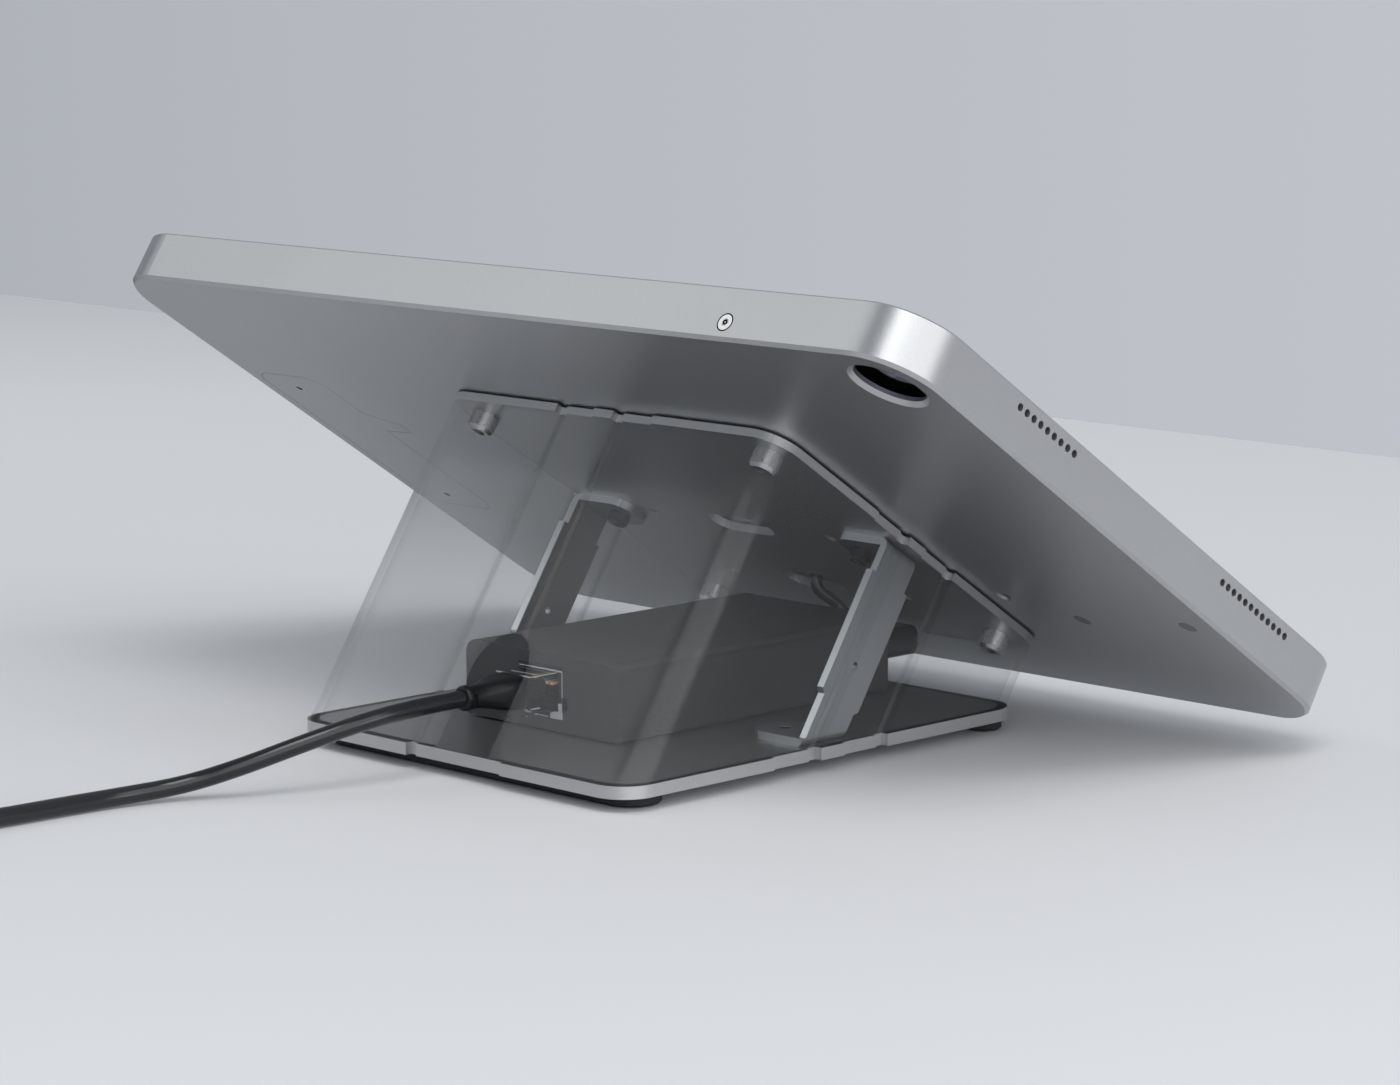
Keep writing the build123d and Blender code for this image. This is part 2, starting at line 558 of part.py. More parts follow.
def bracket(side):
    """Bent bracket from the sloped plate down to the base plate."""
    inner = BRACKET_OUTER - BRACKET_REACH
    angle = Polyline((inner, PLATE_LOW), (BRACKET_OUTER, PLATE_LOW), (BRACKET_OUTER, -BIG / 4),
                     (BRACKET_OUTER - BRACKET_T, -BIG / 4), (BRACKET_OUTER - BRACKET_T, PLATE_LOW - BRACKET_T),
                     (inner, PLATE_LOW - BRACKET_T), close=True)
    profile = make_face(angle)
    bend = profile.vertices().sort_by(lambda v: abs(v.X - BRACKET_OUTER) + abs(v.Y - PLATE_LOW))[0]
    profile = fillet(bend, BEND_R)
    strip = extrude(Plane.XZ * profile, 2 * BRACKET_WEB_HALF, both=True)
    step, low, low_end = BRACKET_STEPS_Z
    half = BRACKET_HALF
    wide = BRACKET_WEB_HALF
    edge = Polyline((half, 1), (half, step), (wide, step), (wide, low), (half, low_end), (half, -BIG / 4),
                    (-half, -BIG / 4), (-half, low_end), (-wide, low), (-wide, step), (-half, step), (-half, 1),
                    close=True)
    web = strip & extrude(Plane.YZ * make_face(edge), BIG)
    tongue = web.edges().filter_by(Axis.Z).sort_by(Axis.X)[:2]
    web = fillet(tongue, TONGUE_R)
    web -= Pos(BRACKET_OUTER, 0, BRACKET_HOLE_Z) * Rot(0, 90, 0) * Cylinder(BRACKET_HOLE_R, 4 * BRACKET_T)
    web -= rod(M3_HOLE_R, -BIG / 8, 1, BRACKET_SCREW_X, 0)
    web = PLATE * web
    web -= Pos(0, 0, BASE_TOP - BIG / 2) * Box(BIG, BIG, BIG)
    reach_y = BRACKET_HALF / cos(SLOPE)
    foot = block((PLATE_X + inner, PLATE_X + BRACKET_OUTER), (FOOT_Y - reach_y, FOOT_Y + reach_y),
                 (BASE_TOP, BASE_TOP + BRACKET_T))
    foot = fillet(foot.edges().filter_by(Axis.Z).sort_by(Axis.X)[:2], TONGUE_R)
    foot -= rod(M3_R + SCREW_FIT, 0, BIG / 8, PLATE_X + BRACKET_SCREW_X, FOOT_Y)
    whole = web + foot
    low_edge = whole.edges().filter_by(Axis.Y).filter_by_position(Axis.Z, BASE_TOP - 0.01, BASE_TOP + 0.01)
    low_edge = low_edge.sort_by(Axis.X)[-1]
    whole = fillet(low_edge, BRACKET_T * 0.9)
    if side < 0:
        whole = mirror(whole, about=Plane.YZ.offset(PLATE_X))
    return whole


def bracket_screws():
    """Black cap screws that hold the brackets to the sloped plate."""
    screws = []
    for x in (-BRACKET_SCREW_X, BRACKET_SCREW_X):
        place = PLATE * Pos(x, 0, PLATE_LOW - BRACKET_T)
        screws.append(place * cap_screw(M3_HEAD_R, M3_HEAD_T, M3_R, BRACKET_T + PLATE_T - SCREW_SHORT))
    return screws


def foot_screws():
    """Flat screws from under the base plate into the brackets."""
    screws = []
    for x in (-BRACKET_SCREW_X, BRACKET_SCREW_X):
        screw = flat_screw(FLAT_M3_HEAD_R, FLAT_M3_HEAD_R - M3_R, M3_R, BASE_T + BRACKET_T - SCREW_SHORT)
        screws.append(Pos(PLATE_X + x, FOOT_Y, FOOT_T) * screw)
    return screws


def base_plate():
    """Base plate on its two feet."""
    plate = stepped_plate(PLATE_W, BASE_L, BASE_T, 1 / cos(SLOPE), BASE_REAR_STEPS, FOOT_T)
    plate = Pos(PLATE_X, BASE_Y, 0) * plate
    for x in (-BRACKET_SCREW_X, BRACKET_SCREW_X):
        hole = flat_hole(FLAT_M3_HEAD_R, FLAT_M3_HEAD_R - M3_R, M3_R, 2 * BASE_T)
        plate -= Pos(PLATE_X + x, FOOT_Y, FOOT_T) * hole
    return plate


def rubber_feet():
    """Two rubber strips with round ends under the base plate, one at the rear and one at the front."""
    feet = []
    for side, (inset, width) in ((1, REAR_FOOT), (-1, FRONT_FOOT)):
        foot = extrude(SlotOverall(PLATE_W - 2 * FOOT_SIDE_IN, width), FOOT_T)
        foot = chamfer(foot.edges().group_by(Axis.Z)[0], FOOT_BEVEL)
        feet.append(Pos(PLATE_X, BASE_Y + side * (BASE_L / 2 - inset - width / 2), 0) * foot)
    return feet


def cover():
    """See-through cover between the two plates, with an arch for the network cord."""
    width = PLATE_W - 2 * COVER_INSET
    length = PLATE_L - 2 * COVER_INSET
    top = PLATE_LOW - COVER_GAP
    deep = BIG / 2
    wall = rounded_slab(width, length, deep, PLATE_CORNER, top - deep)
    wall -= rounded_slab(width - 2 * COVER_WALL, length - 2 * COVER_WALL, deep + 2, PLATE_CORNER - COVER_WALL,
                         top - deep - 1)
    for start, end, step in EDGE_STEPS:
        if step != GROOVE_DEEP:
            continue
        wall -= Pos((start + end) / 2, length / 2, -deep / 2) * Box(end - start, 2 * COVER_GROOVE, 2 * deep)
        for side in (-1, 1):
            place = Pos(side * width / 2, -(start + end) / 2, -deep / 2)
            wall -= place * Box(2 * COVER_GROOVE, end - start, 2 * deep)
    rear_low = base_depth_at(PLATE_L / 2)
    spring = rear_low + ARCH_TALL - ARCH_W / 2
    wall -= Pos(ARCH_X, length / 2, (spring + rear_low - ARCH_W) / 2) * Box(
        ARCH_W, 6 * COVER_WALL, spring - rear_low + ARCH_W)
    wall -= Pos(ARCH_X, length / 2, spring) * Rot(90, 0, 0) * Cylinder(ARCH_W / 2, 6 * COVER_WALL)
    wall = PLATE * wall
    return wall - Pos(0, 0, BASE_TOP - BIG / 2) * Box(BIG, 2 * BIG, BIG)


def base_depth_at(local_y):
    """Depth below the sloped plate's frame at which a wall of the cover reaches the base plate."""
    start = PLATE.position.Z + local_y * sin(SLOPE)
    return -(start - BASE_TOP) / cos(SLOPE)


def adapter_parts():
    """Network adapter: case, floor, tape, board, jack, coil block, capacitors and power socket."""
    front = ADAPTER_FRONT
    back = ADAPTER_BACK
    low = ADAPTER_LOW
    high = low + ADAPTER_T
    case = around(ADAPTER_X, ADAPTER_W, (back, front), (low, high))
    long_edges = case.edges().filter_by(Axis.Y)
    case = fillet(long_edges.sort_by(Axis.Z)[-2:], ADAPTER_ROUND)
    case = chamfer(case.edges().filter_by(Axis.Y).sort_by(Axis.Z)[:2], ADAPTER_BEVEL)
    inside_w = ADAPTER_W - 2 * ADAPTER_WALL
    inside_y = (back + ADAPTER_WALL, front - ADAPTER_WALL)
    case -= around(ADAPTER_X, inside_w, inside_y, (low - ADAPTER_WALL, high - ADAPTER_WALL))
    jack_z = (JACK_HIGH, JACK_HIGH + JACK_T)
    case -= around(ADAPTER_X, JACK_W + 2 * PART_GAP, (inside_y[1] - JACK_FIT, front + JACK_FIT),
                   (jack_z[0] - PART_GAP, jack_z[1] + PART_GAP))
    mouth = Pos(SOCKET_X, back, SOCKET_HIGH) * Rot(90, 0, 0)
    case -= mouth * Cylinder(BARREL_R + SOCKET_CASE_GAP, 3 * ADAPTER_WALL)
    floor = around(ADAPTER_X, inside_w - 2 * PART_GAP, (inside_y[0] + PART_GAP, inside_y[1] - PART_GAP),
                   (low, low + ADAPTER_FLOOR_T))
    tape = [around(ADAPTER_X, TAPE_SIZE[0], (y - TAPE_SIZE[1] / 2, y + TAPE_SIZE[1] / 2), (BASE_TOP, low))
            for y in (back + TAPE_IN, front - TAPE_IN)]
    on_board = BOARD_HIGH + BOARD_T
    board = around(ADAPTER_X, inside_w - 2 * BOARD_GAP[0],
                   (inside_y[0] + BOARD_END_GAP, inside_y[1] - BOARD_GAP[1]), (BOARD_HIGH, on_board))
    jack = around(ADAPTER_X, JACK_W, (front - JACK_L, front), jack_z)
    plug_middle = CORD_HIGH - PLUG_LOW
    plug_high = plug_middle + PLUG_T / 2
    jack_y = (front - JACK_DEEP, front + JACK_FIT)
    jack -= around(ADAPTER_X, PLUG_W + 2 * JACK_FIT, jack_y,
                   (plug_high - PLUG_T - JACK_FIT, plug_high + JACK_TOP_FIT))
    jack -= around(ADAPTER_X, 2 * (LATCH_HALF + 2 * JACK_FIT), jack_y, (jack_z[0] + JACK_FLOOR_T, plug_middle))
    spring_w, spring_l, spring_t = SPRING_SIZE
    spring_z = (plug_high + PART_GAP, plug_high + PART_GAP + spring_t)
    springs = [around(ADAPTER_X + step, spring_w, (jack_y[0], jack_y[0] + spring_l), spring_z)
               for step in contact_steps()]
    coil_x, coil_y = COIL_BLOCK_PLACE
    wide, long, tall = COIL_BLOCK
    coil_block = around(ADAPTER_X + coil_x, wide, (back + coil_y - long / 2, back + coil_y + long / 2),
                        (on_board, on_board + tall))
    coil_block = fillet(coil_block.edges().filter_by(Axis.Z), 1.0)
    capacitors = [rod(CAPACITOR_R, on_board, on_board + CAPACITOR_T, ADAPTER_X + CAPACITOR_X, back + along)
                  for along in CAPACITORS_IN]
    wide, long, tall = SOCKET_CASE
    socket_y = (inside_y[0] + LEAD_FIT, inside_y[0] + LEAD_FIT + long)
    socket = around(SOCKET_X, wide, socket_y, (SOCKET_HIGH - tall / 2, SOCKET_HIGH + tall / 2))
    foot_y = (socket_y[1] - SOCKET_FOOT[1], socket_y[1])
    socket += around(SOCKET_X, SOCKET_FOOT[0], foot_y, (on_board, SOCKET_HIGH))
    socket -= mouth * Cylinder(BARREL_R + LEAD_FIT, 2 * (BARREL_IN + SOCKET_END))
    return {"adapter_case": case, "adapter_floor": floor, "adapter_tape": tape, "adapter_board": board,
            "network_jack": jack, "jack_springs": springs, "coil_block": coil_block, "capacitors": capacitors,
            "power_socket": socket}


def power_parts():
    """Angled power plug at the far end of the adapter and its lead up into the housing."""
    wide, deep, tall = POWER_PLUG
    head_y = (ADAPTER_BACK - POWER_PLUG_GAP - deep, ADAPTER_BACK - POWER_PLUG_GAP)
    head = around(SOCKET_X, wide, head_y, (SOCKET_HIGH - tall / 2, SOCKET_HIGH + tall / 2))
    head = fillet(head.edges(), POWER_PLUG_ROUND)
    barrel = Pos(SOCKET_X, head_y[1] - PART_GAP, SOCKET_HIGH) * Rot(-90, 0, 0) * extrude(
        Circle(BARREL_R), BARREL_IN + POWER_PLUG_GAP)
    face = Vector(SOCKET_X + wide / 2, head_y[1] - LEAD_BACK, SOCKET_HIGH + LEAD_UP)
    start = face - Vector(LEAD_DEEP, 0, 0)
    slot_down = HOUSING_L / 2 - PLATE_MIDDLE_Y + LEAD_SLOT_DOWN
    route = [start, face + Vector(LEAD_RUN, 0, 0)]
    route += [on_slope(PLATE_X + x, slot_down + far, high) for x, far, high in LEAD_ROUTE]
    route.append(on_slope(PLATE_X, slot_down, WALL + LEAD_IN))
    lead = tube(route, LEAD_R, "power lead")
    sideways = Rot(0, 90, 0)
    neck = Pos(*(face - Vector(NECK_RUN / 2, 0, 0))) * sideways * extrude(Circle(LEAD_R + NECK_T), NECK_RUN)
    bore = Pos(*start) * sideways * extrude(Circle(LEAD_R), deep)
    return {"power_plug": head + barrel + neck - bore, "power_lead": lead}


def tube(route, radius, name):
    """Round tube along straight runs joined by arcs as large as the runs allow."""
    points = [Vector(*place) if isinstance(place, tuple) else place for place in route]
    radii = []
    for before, here, after in zip(points, points[1:], points[2:]):
        turn = radians((here - before).get_angle(after - here))
        shorter = min((here - before).length, (after - here).length)
        radii.append(0.45 * shorter / tan(turn / 2))
    path = FilletPolyline(*points, radius=radii)
    solid = sweep(Plane(points[0], z_dir=points[1] - points[0]) * Circle(radius), path=path)
    section = pi * radius * radius
    print(name, "radii", [round(value, 1) for value in radii], "length", round(path.length, 1),
          "volume ratio", round(solid.volume / (section * path.length), 4))
    return solid


def biarc(start, start_way, end, end_way):
    """Two arcs that join two points and keep the direction at each."""
    span = end - start
    both = start_way + end_way
    spread = 2 * (1 - start_way.dot(end_way))
    reach = (sqrt(span.dot(both) ** 2 + spread * span.dot(span)) - span.dot(both)) / spread
    first = start + start_way * reach
    last = end - end_way * reach
    middle = (first + last) / 2
    way = (last - first).normalized()
    return [TangentArc(start, middle, tangent=start_way), TangentArc(middle, end, tangent=way)]


def coil_point(angle):
    """Place on the coil's centre line after winding through an angle."""
    half = pi * COIL_TURNS
    radius = COIL_INNER_R + COIL_PITCH * abs(angle - half) / (2 * pi)
    climb = min(max((angle - half) / pi + 0.5, 0.0), 1.0)
    rise = COIL_PITCH * climb * climb * (3 - 2 * climb)
    turn = pi - angle
    return COIL_MIDDLE + Vector(radius * cos(turn), radius * sin(turn), rise)


def coil_way(angle):
    """Direction of the coil's centre line after winding through an angle."""
    small = 0.001
    return (coil_point(angle + small) - coil_point(angle - small)).normalized()


def cord_coil():
    """Put-away length of the cord, wound inwards and back out in two layers."""
    quarter = pi / 2
    count = 4 * COIL_TURNS
    edges = []
    start = coil_point(0)
    start_way = Vector(0, 1, 0)
    edges.append(Line(start - start_way * 2 * CORD_R, start))
    ways = [start_way] + [coil_way(quarter * index) for index in range(1, count)] + [start_way]
    stops = [coil_point(quarter * index) for index in range(count + 1)]
    for index in range(count):
        edges += biarc(stops[index], ways[index], stops[index + 1], ways[index + 1])
    end = stops[-1]
    edges.append(Line(end, end + start_way * COIL_END_RUN))
    path = Wire(edges)
    solid = sweep(Plane(start - start_way * 2 * CORD_R, z_dir=start_way) * Circle(CORD_R), path=path)
    places = [coil_point(quarter * step / 12) for step in range(12 * count + 1)]
    gap = BIG
    for first in range(0, len(places), 3):
        for second in range(first + 30, len(places)):
            gap = min(gap, (places[first] - places[second]).length)
    print("coil length", round(path.length, 1), "least gap", round(gap - 2 * CORD_R, 2),
          "volume ratio", round(solid.volume / (pi * CORD_R * CORD_R * path.length), 4))
    return solid


def network_plug(name, place):
    """Clear network plug with its contacts, wires, jacket end, latch and boot."""
    body_y = (BOOT_L, BOOT_L + PLUG_L)
    low = -PLUG_LOW - PLUG_T / 2
    high = low + PLUG_T
    body = around(0, PLUG_W, body_y, (low, high))
    body = chamfer(body.edges().filter_by(Axis.Y), PLUG_BEVEL)
    forward = Rot(-90, 0, 0)
    wide, long, tall = CONTACT_SIZE
    contact_y = (body_y[1] - CONTACT_IN - long, body_y[1] - CONTACT_IN)
    contact_z = (high - CONTACT_SUNK - tall, high - CONTACT_SUNK)
    jacket_end = body_y[0] + JACKET_IN
    contacts = []
    wires = []
    for x in contact_steps():
        contacts.append(around(x, wide, contact_y, contact_z))
        body -= around(x, wide + 2 * CONTACT_FIT, (contact_y[0] - CONTACT_FIT, contact_y[1] + CONTACT_FIT),
                       (contact_z[0] - CONTACT_FIT, high + PLUG_T))
        wire_start = Pos(x, jacket_end, high - WIRE_DEEP) * forward
        wires.append(wire_start * extrude(Circle(WIRE_R), contact_y[1] - jacket_end))
        body -= wire_start * extrude(Circle(WIRE_R + CONTACT_FIT), contact_y[1] - jacket_end)
    jacket_start = Pos(0, body_y[0], -PLUG_LOW - JACKET_LOW) * forward
    jacket = jacket_start * extrude(Circle(CORD_R), JACKET_IN - JACKET_FIT)
    body -= jacket_start * extrude(Circle(CORD_R + JACKET_FIT), JACKET_IN)
    top = low - LATCH_GAP
    rear = LATCH_PIVOT - LATCH_REACH
    wide_from = LATCH_PIVOT - LATCH_WIDE
    side = make_face(Polyline((LATCH_PIVOT, top), (rear, top - LATCH_DROP), (rear, top - LATCH_DROP - LATCH_T),
                              (wide_from, top - LATCH_BELLY), (LATCH_PIVOT, top - LATCH_T), close=True))
    side += Pos(LATCH_PIVOT, top - LATCH_T / 2) * Circle(LATCH_T / 2)
    latch = extrude(Plane.YZ * side, LATCH_HALF, both=True)
    for way in (-1, 1):
        beside = sorted((way * LATCH_TAB_HALF, way * PLUG_W))
        latch -= block(beside, (rear - LATCH_T, wide_from), (-PLUG_W, top + LATCH_T))
    collar = forward * extrude(Circle(BOOT_COLLAR_W / 2), BOOT_COLLAR_L)
    small = Plane((0, BOOT_COLLAR_L, 0), x_dir=(1, 0, 0), z_dir=(0, 1, 0))
    large = Plane((0, BOOT_L, -PLUG_LOW), x_dir=(1, 0, 0), z_dir=(0, 1, 0))
    neck = BOOT_COLLAR_W - 2 * BOOT_COLLAR_STEP
    boot = loft([small * RectangleRounded(neck, neck, neck / 2 - 0.05),
                 large * RectangleRounded(PLUG_W - 2 * BOOT_COLLAR_STEP, PLUG_T + BOOT_ROOM, BOOT_ROUND)],
                ruled=True) + collar
    pieces = {"body": body, "contacts": contacts, "wires": wires, "jacket": jacket, "latch": latch,
              "boot": boot}
    return {f"{name}_{key}": placed(piece, place) for key, piece in pieces.items()}


def placed(piece, place):
    """One solid or a list of solids, put in place."""
    if isinstance(piece, list):
        return [place * one for one in piece]
    return place * piece


COIL_INNER_R = COIL_MIDDLE_R - COIL_PITCH * COIL_TURNS / 4
COIL_OUTER_R = COIL_INNER_R + COIL_PITCH * COIL_TURNS / 2
COIL_MIDDLE = Vector(COIL_START.X + COIL_OUTER_R, COIL_START.Y, COIL_START.Z)

nodes = {}
nodes["housing_shell"] = HOUSING * housing_shell()
nodes["front_frame"] = HOUSING * front_frame()
for group in (tablet_parts(), access_parts(), lock_parts(), charge_parts()):
    for name, piece in group.items():
        nodes[name] = placed(piece, HOUSING)
nodes["tablet_pads"] = placed(tablet_pads(), HOUSING)
nodes["rear_plugs"] = placed(rear_plugs(), HOUSING)
for name, piece in plate_parts().items():
    nodes[name] = placed(piece, PLATE)
nodes["bracket_left"] = bracket(1)
nodes["bracket_right"] = bracket(-1)
nodes["bracket_screws"] = bracket_screws()
nodes["foot_screws"] = foot_screws()
nodes["base_plate"] = base_plate()
nodes["rubber_feet"] = rubber_feet()
nodes["cable_cover"] = cover()
nodes.update(adapter_parts())
nodes.update(power_parts())
nodes.update(network_plug("plug", Location(CORD_ROUTE[0], (0, 0, 180))))
nodes["network_cord"] = tube(CORD_ROUTE, CORD_R, "network cord")
nodes["cord_coil"] = cord_coil()
coil_end = COIL_START + Vector(0, COIL_END_RUN, COIL_PITCH)
nodes.update(network_plug("far_plug", Location(tuple(coil_end), (0, 180, 0))))

os.makedirs("parts", exist_ok=True)
for name, piece in nodes.items():
    if isinstance(piece, list):
        piece = Compound(children=[solid for one in piece for solid in one.solids()])
    export_step(piece, f"parts/{name}.step")
print(len(nodes), "nodes")
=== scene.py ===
import math

import bmesh
import bpy
from bpy.props import FloatProperty, FloatVectorProperty, IntProperty, PointerProperty
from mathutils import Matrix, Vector


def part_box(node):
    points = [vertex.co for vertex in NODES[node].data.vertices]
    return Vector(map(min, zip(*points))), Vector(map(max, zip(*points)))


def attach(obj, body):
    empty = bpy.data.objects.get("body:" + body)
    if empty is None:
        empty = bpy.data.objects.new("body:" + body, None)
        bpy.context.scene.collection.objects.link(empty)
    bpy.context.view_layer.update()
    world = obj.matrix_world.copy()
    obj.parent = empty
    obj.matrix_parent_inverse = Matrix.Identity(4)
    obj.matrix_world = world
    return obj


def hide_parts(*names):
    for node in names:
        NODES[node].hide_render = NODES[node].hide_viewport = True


bl_info = {
    "name": "Tablet desk stand",
    "version": (1, 0, 0),
    "blender": (4, 5, 0),
    "location": "3D View > Sidebar > Desk stand",
    "description": "Dresses the packed desk stand: metal, clear cover, screws, adapter, plugs and cord",
    "category": "Object",
}

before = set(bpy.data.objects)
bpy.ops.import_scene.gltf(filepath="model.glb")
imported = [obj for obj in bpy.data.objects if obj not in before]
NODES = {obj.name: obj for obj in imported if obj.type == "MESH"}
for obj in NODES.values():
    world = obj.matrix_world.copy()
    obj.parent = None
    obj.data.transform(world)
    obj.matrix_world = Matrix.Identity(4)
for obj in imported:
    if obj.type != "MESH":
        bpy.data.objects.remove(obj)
MM = 0.001


def corners_of(node):
    """Lowest and highest corner of a CAD node, in millimetres."""
    low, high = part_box(node)
    return low / MM, high / MM


# Places of the plates, the screws and the cover, in millimetres
TILT = math.radians(33.1)
SLOPE_UP = Vector((0.0, math.cos(TILT), math.sin(TILT)))
SLOPE_OUT = Vector((0.0, -math.sin(TILT), math.cos(TILT)))
PLATE_MIDDLE = Vector((-6.83, -11.049, 51.183))
PLATE_SCREW_OUT = 48.5
PLATE_SCREW_SEAT = -2.55
BRACKET_SCREW_OUT = 41.7
BRACKET_SCREW_SEAT = -4.55
LOCK_FACE = Vector((-82.1, 72.81, 111.04))

# Start and end of the cover's grooves from the plate's middle, across the rear and down the sides
COVER_GROOVES = ((13.6, 16.0), (-5.9, -3.2))
COVER_REAR_FROM = 53.0
COVER_SIDE_FROM = 53.5

# Network jack and the plug in it, in millimetres
JACK_LOW, JACK_HIGH = corners_of("network_jack")
PLUG_LOW, PLUG_HIGH = corners_of("plug_body")
RIM_PROUD = 0.144
RIM_FACE = JACK_HIGH.y + RIM_PROUD
RIM_TOP = 21.3
RIM_BOTTOM = 9.95
RIM_INSET = 0.15
KEY_SLOT_MIDDLE = (-8.1, 13.3)
KEY_SLOT_HALF_RUN = 2.7
KEY_SLOT_RADIUS = 1.8
# Outline in X and Z of a painted highlight in the jack's lower near corner
PAINTED_HIGHLIGHT_CORNER = [
    (JACK_LOW.x, 9.8),
    (-6.8, 9.8),
    (-6.8, 11.0),
    (-8.1, 11.5),
    (-9.6, 11.5),
    (-9.6, 13.6),
    (JACK_LOW.x, 13.6),
]
WIRES_HALF_WIDE = 4.08
BOOT_LONG = 16.5
BOOT_DROP = 0.3
BOOT_COLLAR_LONG = 2.4

# Along the boot: distance, half width, half height, and how square it is, where 2 is an ellipse
BOOT_SECTIONS = [
    (0.0, 2.2, 2.2, 2.0),
    (0.05, 2.5, 2.5, 2.0),
    (0.4, 2.9, 2.9, 2.0),
    (0.9, 3.05, 3.05, 2.0),
    (2.0, 3.05, 3.05, 2.0),
    (2.2, 2.95, 2.95, 2.0),
    (2.35, 2.75, 2.75, 2.0),
    (3.0, 2.8, 2.75, 2.0),
    (5.0, 3.1, 2.85, 2.2),
    (7.0, 3.7, 3.1, 2.6),
    (9.0, 4.5, 3.5, 3.2),
    (11.0, 5.15, 3.85, 3.8),
    (13.0, 5.5, 4.05, 4.2),
    (16.2, 5.6, 4.15, 4.4),
    (BOOT_LONG, 5.4, 4.0, 4.4),
    (BOOT_LONG, 4.6, 3.3, 4.0),
]
WIRE_COLOURS = [
    (0.8, 0.5, 0.3),
    (0.8, 0.2, 0.02),
    (0.5, 0.75, 0.5),
    (0.03, 0.12, 0.6),
    (0.4, 0.5, 0.85),
    (0.03, 0.4, 0.06),
    (0.6, 0.4, 0.3),
    (0.16, 0.05, 0.015),
]

# Routes of the cords, in millimetres
COIL_START = Vector((30.2, 220.006, 2.1))
COIL_TURNS = 9
COIL_PITCH = 4.65
COIL_MIDDLE_RADIUS = 23.3
COIL_END_RUN = 20.0
CORD_ROUTE = [
    (-3.2, 80.306, 17.4),
    (-3.2, 93.806, 17.4),
    (-1.0, 107.506, 15.8),
    (3.6, 121.506, 12.2),
    (11.2, 134.506, 7.25),
    (20.2, 144.306, 3.1),
    (24.9, 158.706, 2.1),
    (26.1, 175.006, 2.1),
    (26.8, 192.006, 2.1),
    (29.0, 205.106, 2.1),
    (30.2, 215.856, 2.1),
]
CORD_START = Vector(CORD_ROUTE[0])
LEAD_ROUTE = [
    (-21.0, -45.59, 18.2),
    (-14.8, -45.59, 18.2),
    (-12.0, -43.51, 22.14),
    (-9.5, -40.41, 26.55),
    (-7.6, -36.5, 29.34),
    (-6.83, -36.07, 33.08),
    (-6.83, -39.19, 37.85),
]

# Stage, in metres
FLOOR_HALF = 6.0
FLOOR_GAP = 0.0003
# Painted light on the floor over the first distance past the stand, and painted shade in its reflections
# over the second, down to the share after it
FLOOR_FADE = 0.65
REFLECTION_FADE = 0.5
FAR_REFLECTION_PAINTED_SHADE = 0.3
WALL_HALF = 6.0
WALL_TALL = 3.0
# Painted light on the glowing wall: where along X it fades from its far colour to its near colour, and its
# glow in reflections
WALL_FADE = (1.2, 0.1)
WALL_REFLECTION = 0.8
CAMERA_PLACE = (-0.7116, 0.7138, 0.2060)
LAMP_TARGET = Vector((0, 0, 0.05))

# Name, turn and lift in degrees, distance, width, height and power of each lamp
LAMPS = (
    ("right_softbox", -70, 30, 1.8, 2.6, 2.1, 29.0),
    ("low_strip", -110, 6, 1.8, 1.1, 0.44, 2.0),
    ("high_key", -50, 62, 2.0, 0.9, 0.9, 10.0),
    ("left_softbox", 50, 38, 2.2, 1.7, 1.2, 6.3),
)
WORLD_COLOUR = (0.82, 0.92, 1.0, 1.0)
WORLD_STRENGTH = 0.27


# Settings
def colour_property(name, description, default):
    """Colour that a user can change."""
    return FloatVectorProperty(name=name, description=description, subtype="COLOR", size=3,
                               default=default, min=0, max=1)


def length_property(name, description, default, low, high):
    """Length that a user can change, in metres."""
    return FloatProperty(name=name, description=description, subtype="DISTANCE", unit="LENGTH",
                         default=default, min=low, max=high)


def share_property(name, description, default):
    """Share that a user can change, from 0 to 1."""
    return FloatProperty(name=name, description=description, default=default, min=0, max=1)


class MetalSettings(bpy.types.PropertyGroup):
    """Finishes of the housing, the plates and the brackets."""

    housing: colour_property("Housing", "Colour of the bead blasted housing", (0.46, 0.465, 0.475))
    plates: colour_property("Plates", "Colour of the two plates", (0.52, 0.525, 0.53))
    brackets: colour_property("Brackets", "Colour of the bent brackets", (0.3, 0.31, 0.32))
    grain: length_property("Grain", "Size of the blasted grain", 0.00035, 0.00005, 0.002)
    roughness: share_property("Roughness", "Roughness of the blasted metal", 0.33)


class ScrewSettings(bpy.types.PropertyGroup):
    """Sizes of the socket head cap screws."""

    head_radius: length_property("Head radius", "Radius of a plate screw's head", 0.0035, 0.001, 0.01)
    head_height: length_property("Head height", "Height of a plate screw's head", 0.0047, 0.001, 0.01)
    small_head_radius: length_property(
        "Small head radius", "Radius of a bracket screw's head", 0.00275, 0.001, 0.01)
    small_head_height: length_property(
        "Small head height", "Height of a bracket screw's head", 0.003, 0.001, 0.01)
    ridges: IntProperty(name="Ridges", description="Grip ridges around a head", default=30, min=8, max=60)


class CoverSettings(bpy.types.PropertyGroup):
    """Look of the see-through cover."""

    tint: colour_property("Tint", "Colour that the clear plastic gives to light", (0.92, 0.925, 0.93))
    haze: share_property("Haze", "Share of light that the plastic scatters", 0.02)
    gloss: share_property("Gloss", "Roughness of the plastic's reflections", 0.14)
    shine: share_property("Shine", "Share of light that the corners reflect", 0.25)
    # Painted shade: how much darker the clear plastic is painted along its grooves
    painted_groove_shade: share_property("Groove shade", "How much darker the plastic is along its grooves", 0.14)


class CordSettings(bpy.types.PropertyGroup):
    """Sizes and colour of the cords."""

    diameter: length_property("Network cord", "Thickness of the network cord", 0.00415, 0.001, 0.01)
    lead_diameter: length_property("Power lead", "Thickness of the power lead", 0.003, 0.001, 0.01)
    jacket: colour_property("Jacket", "Colour of the cords' jacket", (0.012, 0.012, 0.013))
    points_per_turn: IntProperty(
        name="Points per turn", description="Control points in each turn of the coil",
        default=16, min=12, max=48)


